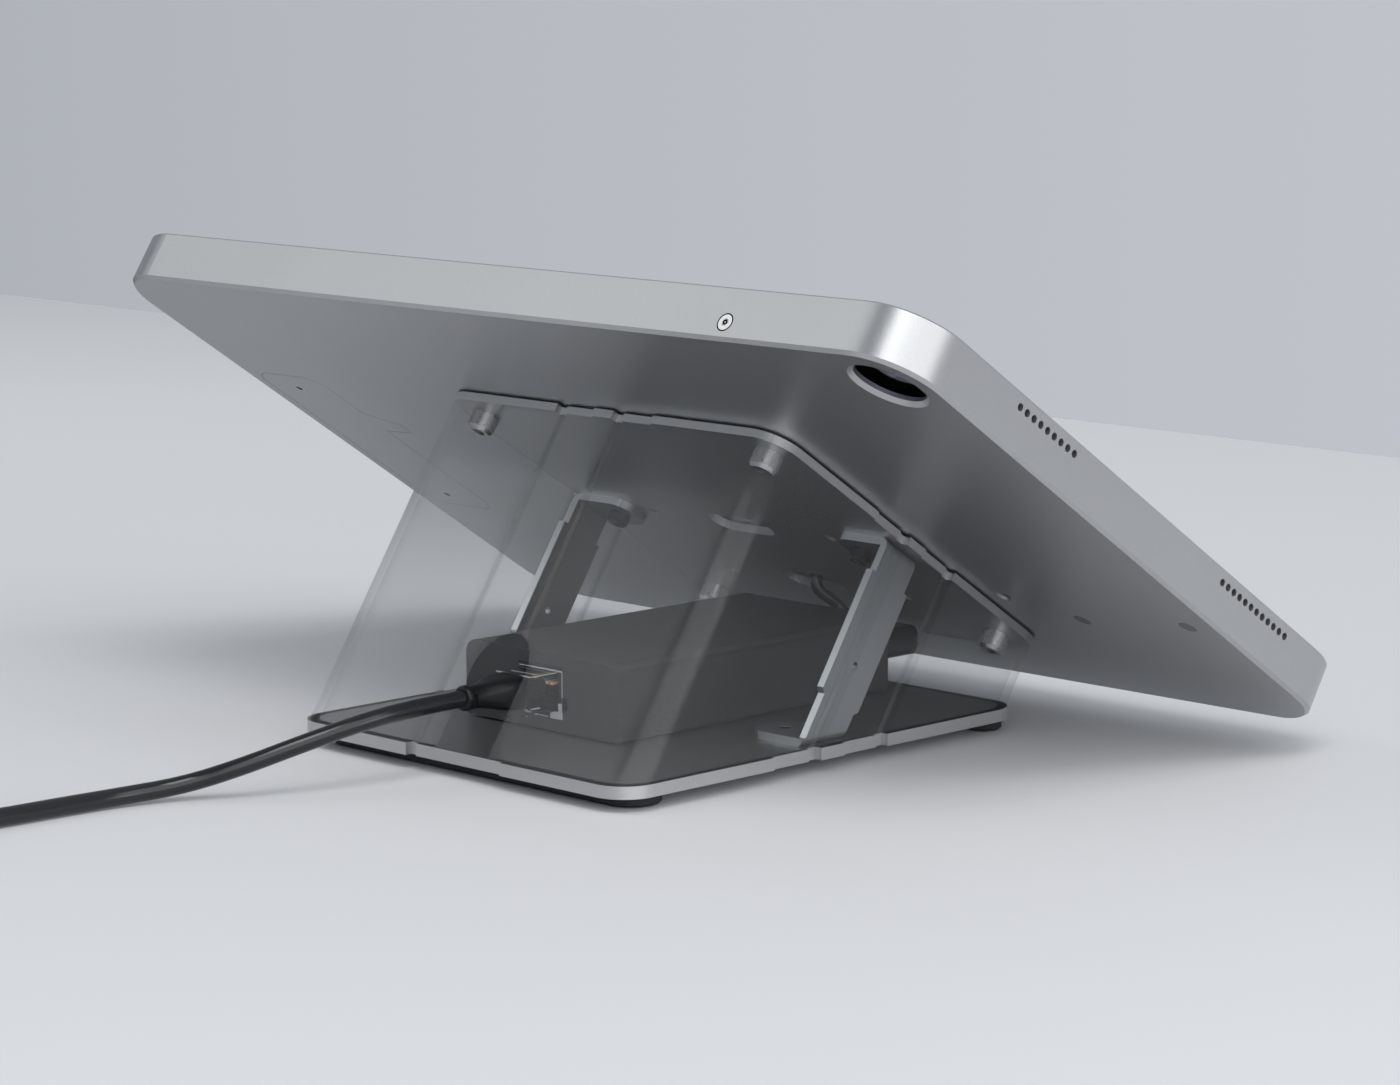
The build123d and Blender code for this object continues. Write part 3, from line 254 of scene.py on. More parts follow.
class StageSettings(bpy.types.PropertyGroup):
    """Floor, wall, lamps and camera."""

    floor: colour_property("Floor", "Colour of the floor at its near end", (0.77, 0.77, 0.785))
    # Painted light: the floor's far end is painted brighter
    floor_far: colour_property("Far floor", "Colour of the floor at its far end", (0.98, 0.98, 0.99))
    wall: colour_property("Wall", "Colour of the wall at its near end", (0.53, 0.55, 0.59))
    wall_far: colour_property("Far wall", "Colour of the wall at its far end", (0.41, 0.43, 0.47))
    wall_distance: length_property(
        "Wall distance", "How far the wall is from the stand's middle", 0.516, 0.3, 3)
    lens: FloatProperty(
        name="Lens", description="Focal length of the camera in millimetres",
        default=106.46, min=20, max=300)
    camera_turn: FloatProperty(
        name="Camera direction", description="Direction that the camera looks, from -Y towards +X",
        subtype="ANGLE", unit="ROTATION", default=math.radians(44.83))
    camera_dip: FloatProperty(
        name="Camera dip", description="How far the camera looks down", subtype="ANGLE",
        unit="ROTATION", default=math.radians(9.08))


class StandSettings(bpy.types.PropertyGroup):
    """Everything that a user can change."""

    metal: PointerProperty(type=MetalSettings)
    screws: PointerProperty(type=ScrewSettings)
    cover: PointerProperty(type=CoverSettings)
    cords: PointerProperty(type=CordSettings)
    stage: PointerProperty(type=StageSettings)


def settings(context):
    """Sizes and colours that a user can change."""
    return context.scene.desk_stand


def as_metres(points):
    """Points in metres from points in millimetres."""
    return [Vector(point) * MM for point in points]


def on_plate(x, y, z=0.0):
    """Place in the sloped plate's own directions, in metres."""
    return (PLATE_MIDDLE + Vector((x, 0, 0)) + SLOPE_UP * y + SLOPE_OUT * z) * MM


# Nodes
def new_tree(name, kind, inputs, outputs):
    """New node tree. Inputs have a kind and a default, and outputs have a kind."""
    tree = bpy.data.node_groups.new(name, kind)
    for title, (form, default) in inputs.items():
        socket = tree.interface.new_socket(name=title, in_out="INPUT", socket_type=f"NodeSocket{form}")
        if default is not None:
            socket.default_value = default
    for title, form in outputs.items():
        tree.interface.new_socket(name=title, in_out="OUTPUT", socket_type=f"NodeSocket{form}")
    return tree


def feed(tree, node, inputs):
    """Links or sets inputs of a node."""
    for key, value in inputs.items():
        if isinstance(value, bpy.types.NodeSocket):
            tree.links.new(value, node.inputs[key])
        else:
            node.inputs[key].default_value = value


def add_node(tree, kind, inputs=None, **choices):
    """New node with its choices made and its inputs fed."""
    node = tree.nodes.new(kind)
    for name, choice in choices.items():
        setattr(node, name, choice)
    feed(tree, node, inputs or {})
    return node


def calculate(tree, operation, *sources):
    """Result of a calculation."""
    return add_node(tree, "ShaderNodeMath", dict(enumerate(sources)), operation=operation).outputs[0]


def along_axis(tree, place, axis):
    """How far a place or a direction goes along an axis."""
    inputs = {0: place, 1: axis}
    return add_node(tree, "ShaderNodeVectorMath", inputs, operation="DOT_PRODUCT").outputs["Value"]


def ranged(tree, value, low, high, start=0.0, end=1.0):
    """Value between low and high, from a value between start and end."""
    inputs = {"Value": value, "From Min": start, "From Max": end, "To Min": low, "To Max": high}
    return add_node(tree, "ShaderNodeMapRange", inputs).outputs["Result"]


def shaded(tree, colour, shade):
    """Colour that is multiplied by a shade."""
    inputs = {0: colour, "Scale": shade}
    return add_node(tree, "ShaderNodeVectorMath", inputs, operation="SCALE").outputs["Vector"]


def object_place(tree):
    """Place on the object."""
    return add_node(tree, "ShaderNodeTexCoord").outputs["Object"]


def object_normal(tree):
    """Direction of the surface on the object."""
    return add_node(tree, "ShaderNodeTexCoord").outputs["Normal"]


def across_object(tree, vector):
    """X of a vector."""
    return add_node(tree, "ShaderNodeSeparateXYZ", {"Vector": vector}).outputs["X"]


# Shader node groups
def grain_group():
    """Fine speckle over faint wide clouds: gives a height and a shade that vary with the surface."""
    if "Grain" in bpy.data.node_groups:
        return bpy.data.node_groups["Grain"]
    noise_middle = 0.5
    cloud_share = 0.35
    group = new_tree("Grain", "ShaderNodeTree", {
        "Scale": ("Float", 3000.0),
        "Contrast": ("Float", 0.1),
    }, {"Height": "Float", "Shade": "Float"})
    into = add_node(group, "NodeGroupInput").outputs
    place = object_place(group)
    inputs = {"Vector": place, "Scale": into["Scale"], "Detail": 3.0, "Roughness": 0.6}
    fine = add_node(group, "ShaderNodeTexNoise", inputs).outputs["Fac"]
    inputs = {"Vector": place, "Scale": 18.0, "Detail": 2.0}
    wide = add_node(group, "ShaderNodeTexNoise", inputs).outputs["Fac"]
    both = calculate(group, "MULTIPLY_ADD", wide, cloud_share, fine)
    centred = calculate(group, "SUBTRACT", both, noise_middle * (1 + cloud_share))
    shade = calculate(group, "MULTIPLY_ADD", centred, into["Contrast"], 1.0)
    add_node(group, "NodeGroupOutput", {"Height": fine, "Shade": shade})
    return group


def facing_group():
    """One on faces that point along an axis of the object, from the surface's own normal."""
    if "Facing" in bpy.data.node_groups:
        return bpy.data.node_groups["Facing"]
    group = new_tree("Facing", "ShaderNodeTree", {
        "Axis": ("Vector", (0, 0, 1)),
        "Limit": ("Float", 0.8),
    }, {"Mask": "Float"})
    into = add_node(group, "NodeGroupInput").outputs
    along = along_axis(group, object_normal(group), into["Axis"])
    add_node(group, "NodeGroupOutput", {"Mask": calculate(group, "GREATER_THAN", along, into["Limit"])})
    return group


def groove_group():
    """One in the four grooves that run down the rear and the sides of the cover."""
    group = new_tree("Cover grooves", "ShaderNodeTree", {
        "Rear": ("Float", COVER_REAR_FROM * MM),
        "Side": ("Float", COVER_SIDE_FROM * MM),
    }, {"Mask": "Float"})
    into = add_node(group, "NodeGroupInput").outputs
    inputs = {0: object_place(group), 1: PLATE_MIDDLE * MM}
    local = add_node(group, "ShaderNodeVectorMath", inputs, operation="SUBTRACT").outputs["Vector"]
    across = across_object(group, local)
    along = along_axis(group, local, SLOPE_UP)
    on_rear = calculate(group, "GREATER_THAN", along, into["Rear"])
    on_side = calculate(group, "GREATER_THAN", calculate(group, "ABSOLUTE", across), into["Side"])
    mask = 0.0
    for start, end in COVER_GROOVES:
        middle = (start + end) / 2 * MM
        half = (end - start) / 2 * MM
        rear = calculate(group, "MULTIPLY", calculate(group, "COMPARE", across, middle, half), on_rear)
        side = calculate(group, "MULTIPLY", calculate(group, "COMPARE", along, -middle, half), on_side)
        mask = calculate(group, "MAXIMUM", mask, calculate(group, "MAXIMUM", rear, side))
    add_node(group, "NodeGroupOutput", {"Mask": mask})
    return group


# Materials
def blank_material(name):
    """New material with its node tree."""
    material = bpy.data.materials.new(name)
    material.use_nodes = True
    return material, material.node_tree


def painted_facing_light(tree, shade, axis, gain):
    """Grain shade, multiplied by a painted light level on faces that point along an axis: brighter or
    darker by the gain.
    """
    facing = add_node(tree, "ShaderNodeGroup", {"Axis": axis}, node_tree=facing_group())
    level = calculate(tree, "MULTIPLY_ADD", facing.outputs["Mask"], gain - 1, 1.0)
    return calculate(tree, "MULTIPLY", shade, level)


def grained_material(name, colour, roughness, metallic=0.0, scale=3000.0, contrast=0.1, bump=0.00002,
                     spread=0.3, coat=0.0, specular=0.5, painted_light_axis=None, painted_light_gain=1.0):
    """Surface that follows the grain, with painted light or shade on faces that point along an axis."""
    material, tree = blank_material(name)
    inputs = {"Scale": scale, "Contrast": contrast}
    grain = add_node(tree, "ShaderNodeGroup", inputs, node_tree=grain_group()).outputs
    shade = grain["Shade"]
    # Painted light or shade: faces that point along the axis are made brighter or darker
    if painted_light_axis is not None:
        shade = painted_facing_light(tree, shade, painted_light_axis, painted_light_gain)
    smoothest = roughness * (1 - spread)
    roughest = min(1.0, roughness * (1 + spread))
    inputs = {"Strength": 0.6, "Distance": bump, "Height": grain["Height"]}
    relief = add_node(tree, "ShaderNodeBump", inputs).outputs["Normal"]
    feed(tree, tree.nodes["Principled BSDF"], {
        "Base Color": shaded(tree, colour[:3], shade),
        "Roughness": ranged(tree, grain["Height"], smoothest, roughest),
        "Normal": relief,
        "Metallic": metallic,
        "Coat Weight": coat,
        "Specular IOR Level": specular,
    })
    return material


def kept(name, maker):
    """Material that is made once and used by several operators."""
    return bpy.data.materials.get(name) or maker()


def jacket_material(context):
    """Glossy jacket of the cords."""
    colour = settings(context).cords.jacket
    return kept("Glossy jacket", lambda: grained_material(
        "Glossy jacket", colour, 0.16, scale=300.0, contrast=0.3, bump=0.0000005, spread=0.1))


def gold_material():
    """Plating of the contacts."""
    return kept("Gold", lambda: grained_material("Gold", (0.85, 0.6, 0.25), 0.25, metallic=1.0))


def painted_gap_shade_material():
    """Painted shade of a narrow gap or a deep recess."""
    return kept("Painted gap shade", lambda: grained_material(
        "Painted gap shade", (0.003, 0.003, 0.003), 0.9, scale=1500.0, contrast=0.3, bump=0.000001, specular=0.05))


def groove_painted_shade_colour(tree, tint, darker):
    """Tint with painted shade: darker along the cover's grooves."""
    band = add_node(tree, "ShaderNodeGroup", node_tree=groove_group())
    return shaded(tree, tint[:3], ranged(tree, band.outputs["Mask"], 1.0, 1 - darker))


def corner_coat(tree, coat, rear_share=0.8, side_share=0.03):
    """Full coat on the round corners, and a share of it on the flat rear and side panes."""
    round_middle = 0.56
    round_reach = 0.41
    sideways = calculate(tree, "ABSOLUTE", across_object(tree, object_normal(tree)))
    corner = calculate(tree, "COMPARE", sideways, round_middle, round_reach)
    flat = ranged(tree, sideways, rear_share * coat, side_share * coat)
    return add_node(tree, "ShaderNodeMix", {"Factor": corner, "A": flat, "B": coat}).outputs["Result"]


def partly_clear(tree, share, surface, tint=(1.0, 1.0, 1.0, 1.0)):
    """Surface that a share of the rays goes straight through."""
    through = add_node(tree, "ShaderNodeBsdfTransparent", {"Color": tint}).outputs["BSDF"]
    mix = add_node(tree, "ShaderNodeMixShader", {"Fac": share, 1: surface, 2: through})
    feed(tree, tree.nodes["Material Output"], {"Surface": mix.outputs["Shader"]})


def clear_material(name, tint, index, haze=0.0, coat=0.0, coat_roughness=0.05, grooves=0.0):
    """Clear plastic that lets shadow and diffuse rays straight through."""
    material, tree = blank_material(name)
    shader = tree.nodes["Principled BSDF"]
    feed(tree, shader, {
        "Base Color": (*tint, 1.0),
        "Roughness": 0.02,
        "IOR": index,
        "Transmission Weight": 1.0 - haze,
        "Coat Weight": coat,
        "Coat Roughness": coat_roughness,
    })
    # Painted shade along the grooves, and a coat that is full only on the round corners
    if grooves:
        feed(tree, shader, {
            "Base Color": groove_painted_shade_colour(tree, tint, grooves),
            "Coat Weight": corner_coat(tree, coat),
        })
    ray = add_node(tree, "ShaderNodeLightPath").outputs
    either = calculate(tree, "MAXIMUM", ray["Is Shadow Ray"], ray["Is Diffuse Ray"])
    partly_clear(tree, either, shader.outputs["BSDF"], (*tint, 1.0))
    return material


def dress(material, *names):
    """Gives CAD nodes a material."""
    for name in names:
        piece = NODES[name]
        if not piece.material_slots:
            piece.data.materials.append(material)
        for slot in piece.material_slots:
            slot.material = material


def finished(name, mesh, material, body):
    """Object from a mesh that is already in place, riding on a body."""
    piece = bpy.data.objects.new(name, mesh)
    bpy.context.scene.collection.objects.link(piece)
    if not mesh.materials:
        mesh.materials.append(material)
    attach(piece, body)
    return piece


def joined(shape, rings):
    """Faces between rings of equally many corners, each ring with the one after it."""
    count = len(rings[0])
    for low, high in zip(rings, rings[1:]):
        for index in range(count):
            after = (index + 1) % count
            shape.faces.new((low[index], low[after], high[after], high[index]))


def closed(shape, rings):
    """Solid through rings of corners, with a face over each end."""
    joined(shape, rings)
    shape.faces.new(list(reversed(rings[0])))
    shape.faces.new(rings[-1])


def made_mesh(name, shape):
    """Mesh from a shape, with every face turned outwards."""
    bmesh.ops.recalc_face_normals(shape, faces=shape.faces)
    mesh = bpy.data.meshes.new(name)
    shape.to_mesh(mesh)
    shape.free()
    return mesh


def rounded_outline(half_wide, half_tall, power, count=48):
    """Outline between an ellipse and a rectangle, more square the higher its power is."""
    points = []
    for index in range(count):
        angle = 2 * math.pi * index / count
        across = math.copysign(abs(math.cos(angle)) ** (2 / power), math.cos(angle)) * half_wide
        up = math.copysign(abs(math.sin(angle)) ** (2 / power), math.sin(angle)) * half_tall
        points.append((across, up))
    return points


# Geometry node tree of the cap screws
def cap_screw_tree():
    """Screws with a ridged head and a hexagon socket, one at each point."""
    tree = new_tree("Cap screws", "GeometryNodeTree", {
        "Geometry": ("Geometry", None),
        "Head Radius": ("Float", 0.0035),
        "Head Height": ("Float", 0.0047),
        "Shank Radius": ("Float", 0.002),
        "Shank Length": ("Float", 0.006),
        "Key Radius": ("Float", 0.0017),
        "Ridges": ("Int", 30),
        "Axis": ("Vector", (0, 0, 1)),
        "Material": ("Material", None),
    }, {"Geometry": "Geometry"})
    into = add_node(tree, "NodeGroupInput").outputs

    def times(source, factor):
        return calculate(tree, "MULTIPLY", source, factor)

    def moved(geometry, height):
        lift = add_node(tree, "ShaderNodeCombineXYZ", {"Z": height}).outputs["Vector"]
        inputs = {"Geometry": geometry, "Translation": lift}
        return add_node(tree, "GeometryNodeTransform", inputs).outputs["Geometry"]

    def cylinder(vertices, radius, height):
        inputs = {"Vertices": vertices, "Radius": radius, "Depth": height}
        return add_node(tree, "GeometryNodeMeshCylinder", inputs).outputs["Mesh"]

    def carved(operation, first, second):
        node = add_node(tree, "GeometryNodeMeshBoolean", operation=operation, solver="EXACT")
        feed(tree, node, {"Mesh 1" if operation == "DIFFERENCE" else "Mesh 2": first})
        feed(tree, node, {"Mesh 2": second})
        return node.outputs["Mesh"]

    # Head: a drum whose rim is cut off at a slant, with a socket for a hexagon key
    radius = into["Head Radius"]
    height = into["Head Height"]
    drum_share = 0.96
    drum = moved(cylinder(64, times(radius, drum_share), height), times(height, -0.5))
    crown = add_node(tree, "GeometryNodeMeshCone", {
        "Vertices": 64,
        "Radius Top": times(radius, 1.6),
        "Radius Bottom": times(radius, 0.72),
        "Depth": times(height, 1.2),
    })
    head = carved("INTERSECT", drum, moved(crown.outputs["Mesh"], times(height, -1.1)))
    socket = moved(cylinder(6, into["Key Radius"], times(height, 1.1)), times(height, -1.0))
    cut = carved("DIFFERENCE", head, socket)

    # Grip: ridges in a circle around the drum
    ridge_middle = 0.965
    ridge_deep = 0.07
    ridge_wide = 0.1
    ridge_tall = 0.7
    ridge_lift = -0.46
    inputs = {"Vertices": into["Ridges"], "Radius": times(radius, ridge_middle)}
    circle = add_node(tree, "GeometryNodeMeshCircle", inputs)
    ridge_size = add_node(tree, "ShaderNodeCombineXYZ", {
        "X": times(radius, ridge_deep),
        "Y": times(radius, ridge_wide),
        "Z": times(height, ridge_tall),
    })
    ridge = add_node(tree, "GeometryNodeMeshCube", {"Size": ridge_size.outputs["Vector"]})
    place = add_node(tree, "GeometryNodeInputPosition").outputs["Position"]
    turned = add_node(tree, "FunctionNodeAlignRotationToVector", {"Vector": place}, axis="X")
    around = add_node(tree, "GeometryNodeInstanceOnPoints", {
        "Points": circle.outputs["Mesh"],
        "Instance": ridge.outputs["Mesh"],
        "Rotation": turned.outputs["Rotation"],
    })
    grip = add_node(tree, "GeometryNodeRealizeInstances", {"Geometry": around.outputs["Instances"]})
    gripped = moved(grip.outputs["Geometry"], times(height, ridge_lift))

    # Whole screw, turned along the axis and put at each point
    length = into["Shank Length"]
    shank = moved(cylinder(32, into["Shank Radius"], length), times(length, 0.5))
    screw = add_node(tree, "GeometryNodeJoinGeometry")
    for source in (shank, gripped, cut):
        feed(tree, screw, {"Geometry": source})
    axis = add_node(tree, "FunctionNodeAlignRotationToVector", {"Vector": into["Axis"]}, axis="Z")
    each = add_node(tree, "GeometryNodeInstanceOnPoints", {
        "Points": into["Geometry"],
        "Instance": screw.outputs["Geometry"],
        "Rotation": axis.outputs["Rotation"],
    })
    real = add_node(tree, "GeometryNodeRealizeInstances", {"Geometry": each.outputs["Instances"]})
    inputs = {"Geometry": real.outputs["Geometry"], "Material": into["Material"]}
    finish = add_node(tree, "GeometryNodeSetMaterial", inputs)
    add_node(tree, "NodeGroupOutput", {"Geometry": finish.outputs["Geometry"]})
    return tree


def grown(name, tree, points, values, body):
    """Runs a tree on a few points and keeps the result as a plain mesh."""
    seed = bpy.data.meshes.new(name + "_points")
    seed.from_pydata([tuple(point) for point in points], [], [])
    holder = bpy.data.objects.new(name + "_points", seed)
    bpy.context.scene.collection.objects.link(holder)
    modifier = holder.modifiers.new("Tree", "NODES")
    modifier.node_group = tree
    for socket in tree.interface.items_tree:
        if socket.item_type == "SOCKET" and socket.in_out == "INPUT" and socket.name in values:
            modifier[socket.identifier] = values[socket.name]
    depsgraph = bpy.context.evaluated_depsgraph_get()
    mesh = bpy.data.meshes.new_from_object(holder.evaluated_get(depsgraph), depsgraph=depsgraph)
    holder.modifiers.remove(modifier)
    bpy.data.objects.remove(holder)
    mesh.name = name
    return finished(name, mesh, values["Material"], body)


# Network cord
def coil_points(start, per_turn):
    """Control points of the coil: inwards in one layer and back out on top of it."""
    inner = COIL_MIDDLE_RADIUS - COIL_PITCH * COIL_TURNS / 4
    outer = inner + COIL_PITCH * COIL_TURNS / 2
    middle = start + Vector((outer, 0, 0))
    half = math.pi * COIL_TURNS
    steps = COIL_TURNS * per_turn
    swell = 1 / math.cos(math.pi / per_turn)
    points = []
    for index in range(1, steps):
        angle = 2 * half * index / steps
        radius = (inner + COIL_PITCH * abs(angle - half) / (2 * math.pi)) * swell
        climb = min(max((angle - half) / math.pi + 0.5, 0.0), 1.0)
        rise = COIL_PITCH * climb * climb * (3 - 2 * climb)
        around = math.pi - angle
        points.append(middle + Vector((radius * math.cos(around), radius * math.sin(around), rise)))
    return points


def smooth_curve(name, points, diameter, material):
    """Round cord along one NURBS spline."""
    curve = bpy.data.curves.new(name, "CURVE")
    curve.dimensions = "3D"
    curve.bevel_depth = diameter / 2
    curve.bevel_resolution = 6
    curve.resolution_u = 6
    curve.use_fill_caps = True
    spline = curve.splines.new("NURBS")
    spline.points.add(len(points) - 1)
    for knot, point in zip(spline.points, points):
        knot.co = (*point, 1.0)
    spline.order_u = 3
    spline.use_endpoint_u = True
    curve.materials.append(material)
    piece = bpy.data.objects.new(name, curve)
    bpy.context.scene.collection.objects.link(piece)
    return piece


class DressHousing(bpy.types.Operator):
    """Bead blasted metal for the housing, its access panel and its front frame"""

    bl_idname = "desk_stand.dress_housing"
    bl_label = "Housing"

    def execute(self, context):
        metal = settings(context).metal
        blasted = grained_material("Bead blasted metal", metal.housing, metal.roughness, metallic=0.85,
                                   scale=1 / metal.grain, contrast=0.25, bump=0.00003, spread=0.25)
        dress(blasted, "housing_shell", "access_panel", "front_frame")
        plug = grained_material("Blanking plug", (0.2, 0.205, 0.21), 0.5, metallic=0.6)
        dress(plug, "rear_plugs")
        return {"FINISHED"}


class DressTablet(bpy.types.Operator):
    """Tablet body, screen, camera and the pads that hold the tablet"""

    bl_idname = "desk_stand.dress_tablet"
    bl_label = "Tablet"

    def execute(self, context):
        dress(grained_material("Tablet metal", (0.3, 0.31, 0.33), 0.4, metallic=1.0), "tablet_body")
        screen = grained_material("Dark screen glass", (0.012, 0.012, 0.014), 0.06, scale=40.0,
                                  contrast=0.1, bump=0.0000005, coat=0.6)
        dress(screen, "screen_glass")
        dress(grained_material("Lens ring", (0.4, 0.4, 0.42), 0.3, metallic=0.6), "camera_ring")
        # Painted reflection: the lens's dark blue colour stands in for the blue glint of its coating
        lens = grained_material("Lens with painted glint", (0.05, 0.06, 0.3), 0.08, scale=200.0, contrast=1.0,
                                bump=0.0000005, coat=1.0)
        dress(lens, "camera_lens")
        dress(grained_material("Foam", (0.03, 0.03, 0.03), 0.9, scale=2500.0, bump=0.0001), "tablet_pads")
        return {"FINISHED"}


class DressPlates(bpy.types.Operator):
    """Sloped plate, base plate, washers, nuts and feet"""

    bl_idname = "desk_stand.dress_plates"
    bl_label = "Plates and feet"

    def execute(self, context):
        metal = settings(context).metal
        scale = 0.8 / metal.grain
        # Painted light: faces of the sloped plate that point up the slope are painted 1.35 times brighter
        plate = grained_material("Plate metal", metal.plates, 0.42, metallic=1.0, scale=scale,
                                 contrast=0.03, bump=0.0000005, painted_light_axis=tuple(SLOPE_UP),
                                 painted_light_gain=1.35)
        dress(plate, "sloped_plate")
        # Painted light and shade: the base plate is painted 1.04 times brighter than the plates for its
        # edges, and its top face half as bright
        brighter = 1.04
        edges = tuple(brighter * value for value in metal.plates)
        base = grained_material("Base plate metal", edges, 0.42, metallic=1.0, scale=scale, contrast=0.05,
                                bump=0.000001, painted_light_axis=(0, 0, 1), painted_light_gain=0.5)
        dress(base, "base_plate")
        steel = grained_material("Zinc steel", (0.5, 0.5, 0.51), 0.35, metallic=1.0, scale=1200.0)
        dress(steel, "plate_nuts", "spacing_washers", "lock_block")
        rubber = grained_material("Rubber", (0.018, 0.018, 0.02), 0.75, scale=2200.0,
                                  contrast=0.4, bump=0.00008)
        dress(rubber, "rubber_feet", "adapter_tape")
        return {"FINISHED"}


class DressBrackets(bpy.types.Operator):
    """Painted sheet brackets"""

    bl_idname = "desk_stand.dress_brackets"
    bl_label = "Brackets"

    def execute(self, context):
        metal = settings(context).metal
        # Painted light: the bracket faces that point up the slope are painted 2.2 times brighter
        sheet = grained_material("Bracket sheet", metal.brackets, 0.4, metallic=0.9, scale=1500.0,
                                 contrast=0.1, bump=0.000003, painted_light_axis=tuple(SLOPE_UP), painted_light_gain=2.2)
        dress(sheet, "bracket_left", "bracket_right")
        return {"FINISHED"}


class MakeScrews(bpy.types.Operator):
    """Cap screws of the sloped plate and the brackets, and finishes of the flat screws"""

    bl_idname = "desk_stand.make_screws"
    bl_label = "Screws"

    def execute(self, context):
        size = settings(context).screws
        tree = cap_screw_tree()
        steel = grained_material("Screw steel", (0.5, 0.5, 0.51), 0.3, metallic=1.0, scale=1500.0)
        black = grained_material("Black oxide", (0.012, 0.012, 0.013), 0.35, metallic=0.3, scale=1500.0)
        outs = (-PLATE_SCREW_OUT, PLATE_SCREW_OUT)
        corners = [on_plate(x, y, PLATE_SCREW_SEAT) for x in outs for y in outs]
        plate = grown("plate_cap_screws", tree, corners, {
            "Head Radius": size.head_radius,
            "Head Height": size.head_height,
            "Shank Radius": 0.002,
            "Shank Length": 0.0071,
            "Key Radius": 0.00173,
            "Ridges": size.ridges,
            "Axis": tuple(SLOPE_OUT),
            "Material": steel,
        }, "stand")
        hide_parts("plate_screws")
        tops = [on_plate(x, 0, BRACKET_SCREW_SEAT) for x in (-BRACKET_SCREW_OUT, BRACKET_SCREW_OUT)]
        small = grown("bracket_cap_screws", tree, tops, {
            "Head Radius": size.small_head_radius,
            "Head Height": size.small_head_height,
            "Shank Radius": 0.0015,
            "Shank Length": 0.0039,
            "Key Radius": 0.00144,
            "Ridges": size.ridges,
            "Axis": tuple(SLOPE_OUT),
            "Material": black,
        }, "stand")
        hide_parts("bracket_screws")
        dress(steel, "access_screws")
        dress(black, "foot_screws")
        bright = grained_material("Bright screw", (0.85, 0.85, 0.84), 0.45, metallic=0.3, scale=1500.0)
        dress(bright, "lock_screw")
        self.lock_painted_shade()
        return {"FINISHED"}

    def lock_painted_shade(self):
        """Painted shade of the gap around the lock screw's head and of its pin recess, as two thin dark
        rings on the wall.
        """
        head_gap = (1.92, 2.24)
        pin_recess = (0.26, 0.66)
        thick = 0.03
        shape = bmesh.new()
        for inner, outer in (head_gap, pin_recess):
            rings = []
            for radius, lift in ((inner, 0), (outer, 0), (outer, thick), (inner, thick)):
                rings.append(self.circle(shape, radius, lift))
            joined(shape, [*rings, rings[0]])
        mesh = made_mesh("lock_screw_painted_shade", shape)
        finished("lock_screw_painted_shade", mesh, painted_gap_shade_material(), "stand")

    def circle(self, shape, radius, lift, count=32):
        """Corners around the lock screw's axis."""
        corners = []
        for index in range(count):
            angle = 2 * math.pi * index / count
            out = Vector((math.cos(angle), 0, 0)) + SLOPE_OUT * math.sin(angle)
            corners.append(shape.verts.new((LOCK_FACE + out * radius + SLOPE_UP * lift) * MM))
        return corners


class DressCover(bpy.types.Operator):
    """See-through cover around the cables"""

    bl_idname = "desk_stand.dress_cover"
    bl_label = "Clear cover"

    def execute(self, context):
        cover = settings(context).cover
        clear = clear_material("Clear cover", cover.tint, 1.001, haze=cover.haze, coat=cover.shine,
                               coat_roughness=cover.gloss, grooves=cover.painted_groove_shade)
        dress(clear, "cable_cover")
        return {"FINISHED"}


class DressAdapter(bpy.types.Operator):
    """Network power adapter with what is inside it"""

    bl_idname = "desk_stand.dress_adapter"
    bl_label = "Adapter"

    def execute(self, context):
        # Painted shade: faces of the case that point along -X are painted half as bright
        case = grained_material("Adapter case", (0.04, 0.041, 0.043), 0.5, scale=1800.0, contrast=0.03,
                                bump=0.0000005, painted_light_axis=(-1, 0, 0), painted_light_gain=0.5)
        dress(case, "adapter_case", "adapter_floor")
        dress(grained_material("Black plastic", (0.02, 0.02, 0.021), 0.4, scale=1500.0),
              "network_jack", "power_socket", "entry_block", "flat_lead")
        smooth = grained_material("Smooth black", (0.005, 0.005, 0.006), 0.22, scale=300.0,
                                  contrast=0.2, bump=0.0000005)
        dress(smooth, "power_plug")
        dress(grained_material("White plastic", (0.75, 0.75, 0.74), 0.35, scale=1500.0), "charge_plug")
        board = grained_material("Board", (0.02, 0.1, 0.045), 0.35, scale=600.0, contrast=0.6)
        dress(board, "adapter_board")
        dress(gold_material(), "jack_springs")
        core = grained_material("Wound core", (0.35, 0.25, 0.05), 0.55, scale=800.0, contrast=0.6)
        dress(core, "coil_block")
        can = grained_material("Sleeved can", (0.06, 0.07, 0.16), 0.3, scale=700.0, contrast=0.4)
        dress(can, "capacitors")
        return {"FINISHED"}


class MakePowerLead(bpy.types.Operator):
    """Power lead from the angled plug up into the housing"""

    bl_idname = "desk_stand.make_power_lead"
    bl_label = "Power lead"

    def execute(self, context):
        cords = settings(context).cords
        jacket = jacket_material(context)
        points = as_metres(LEAD_ROUTE)
        lead = smooth_curve("power_lead_cord", points, cords.lead_diameter, jacket)
        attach(lead, "stand")
        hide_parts("power_lead")
        return {"FINISHED"}


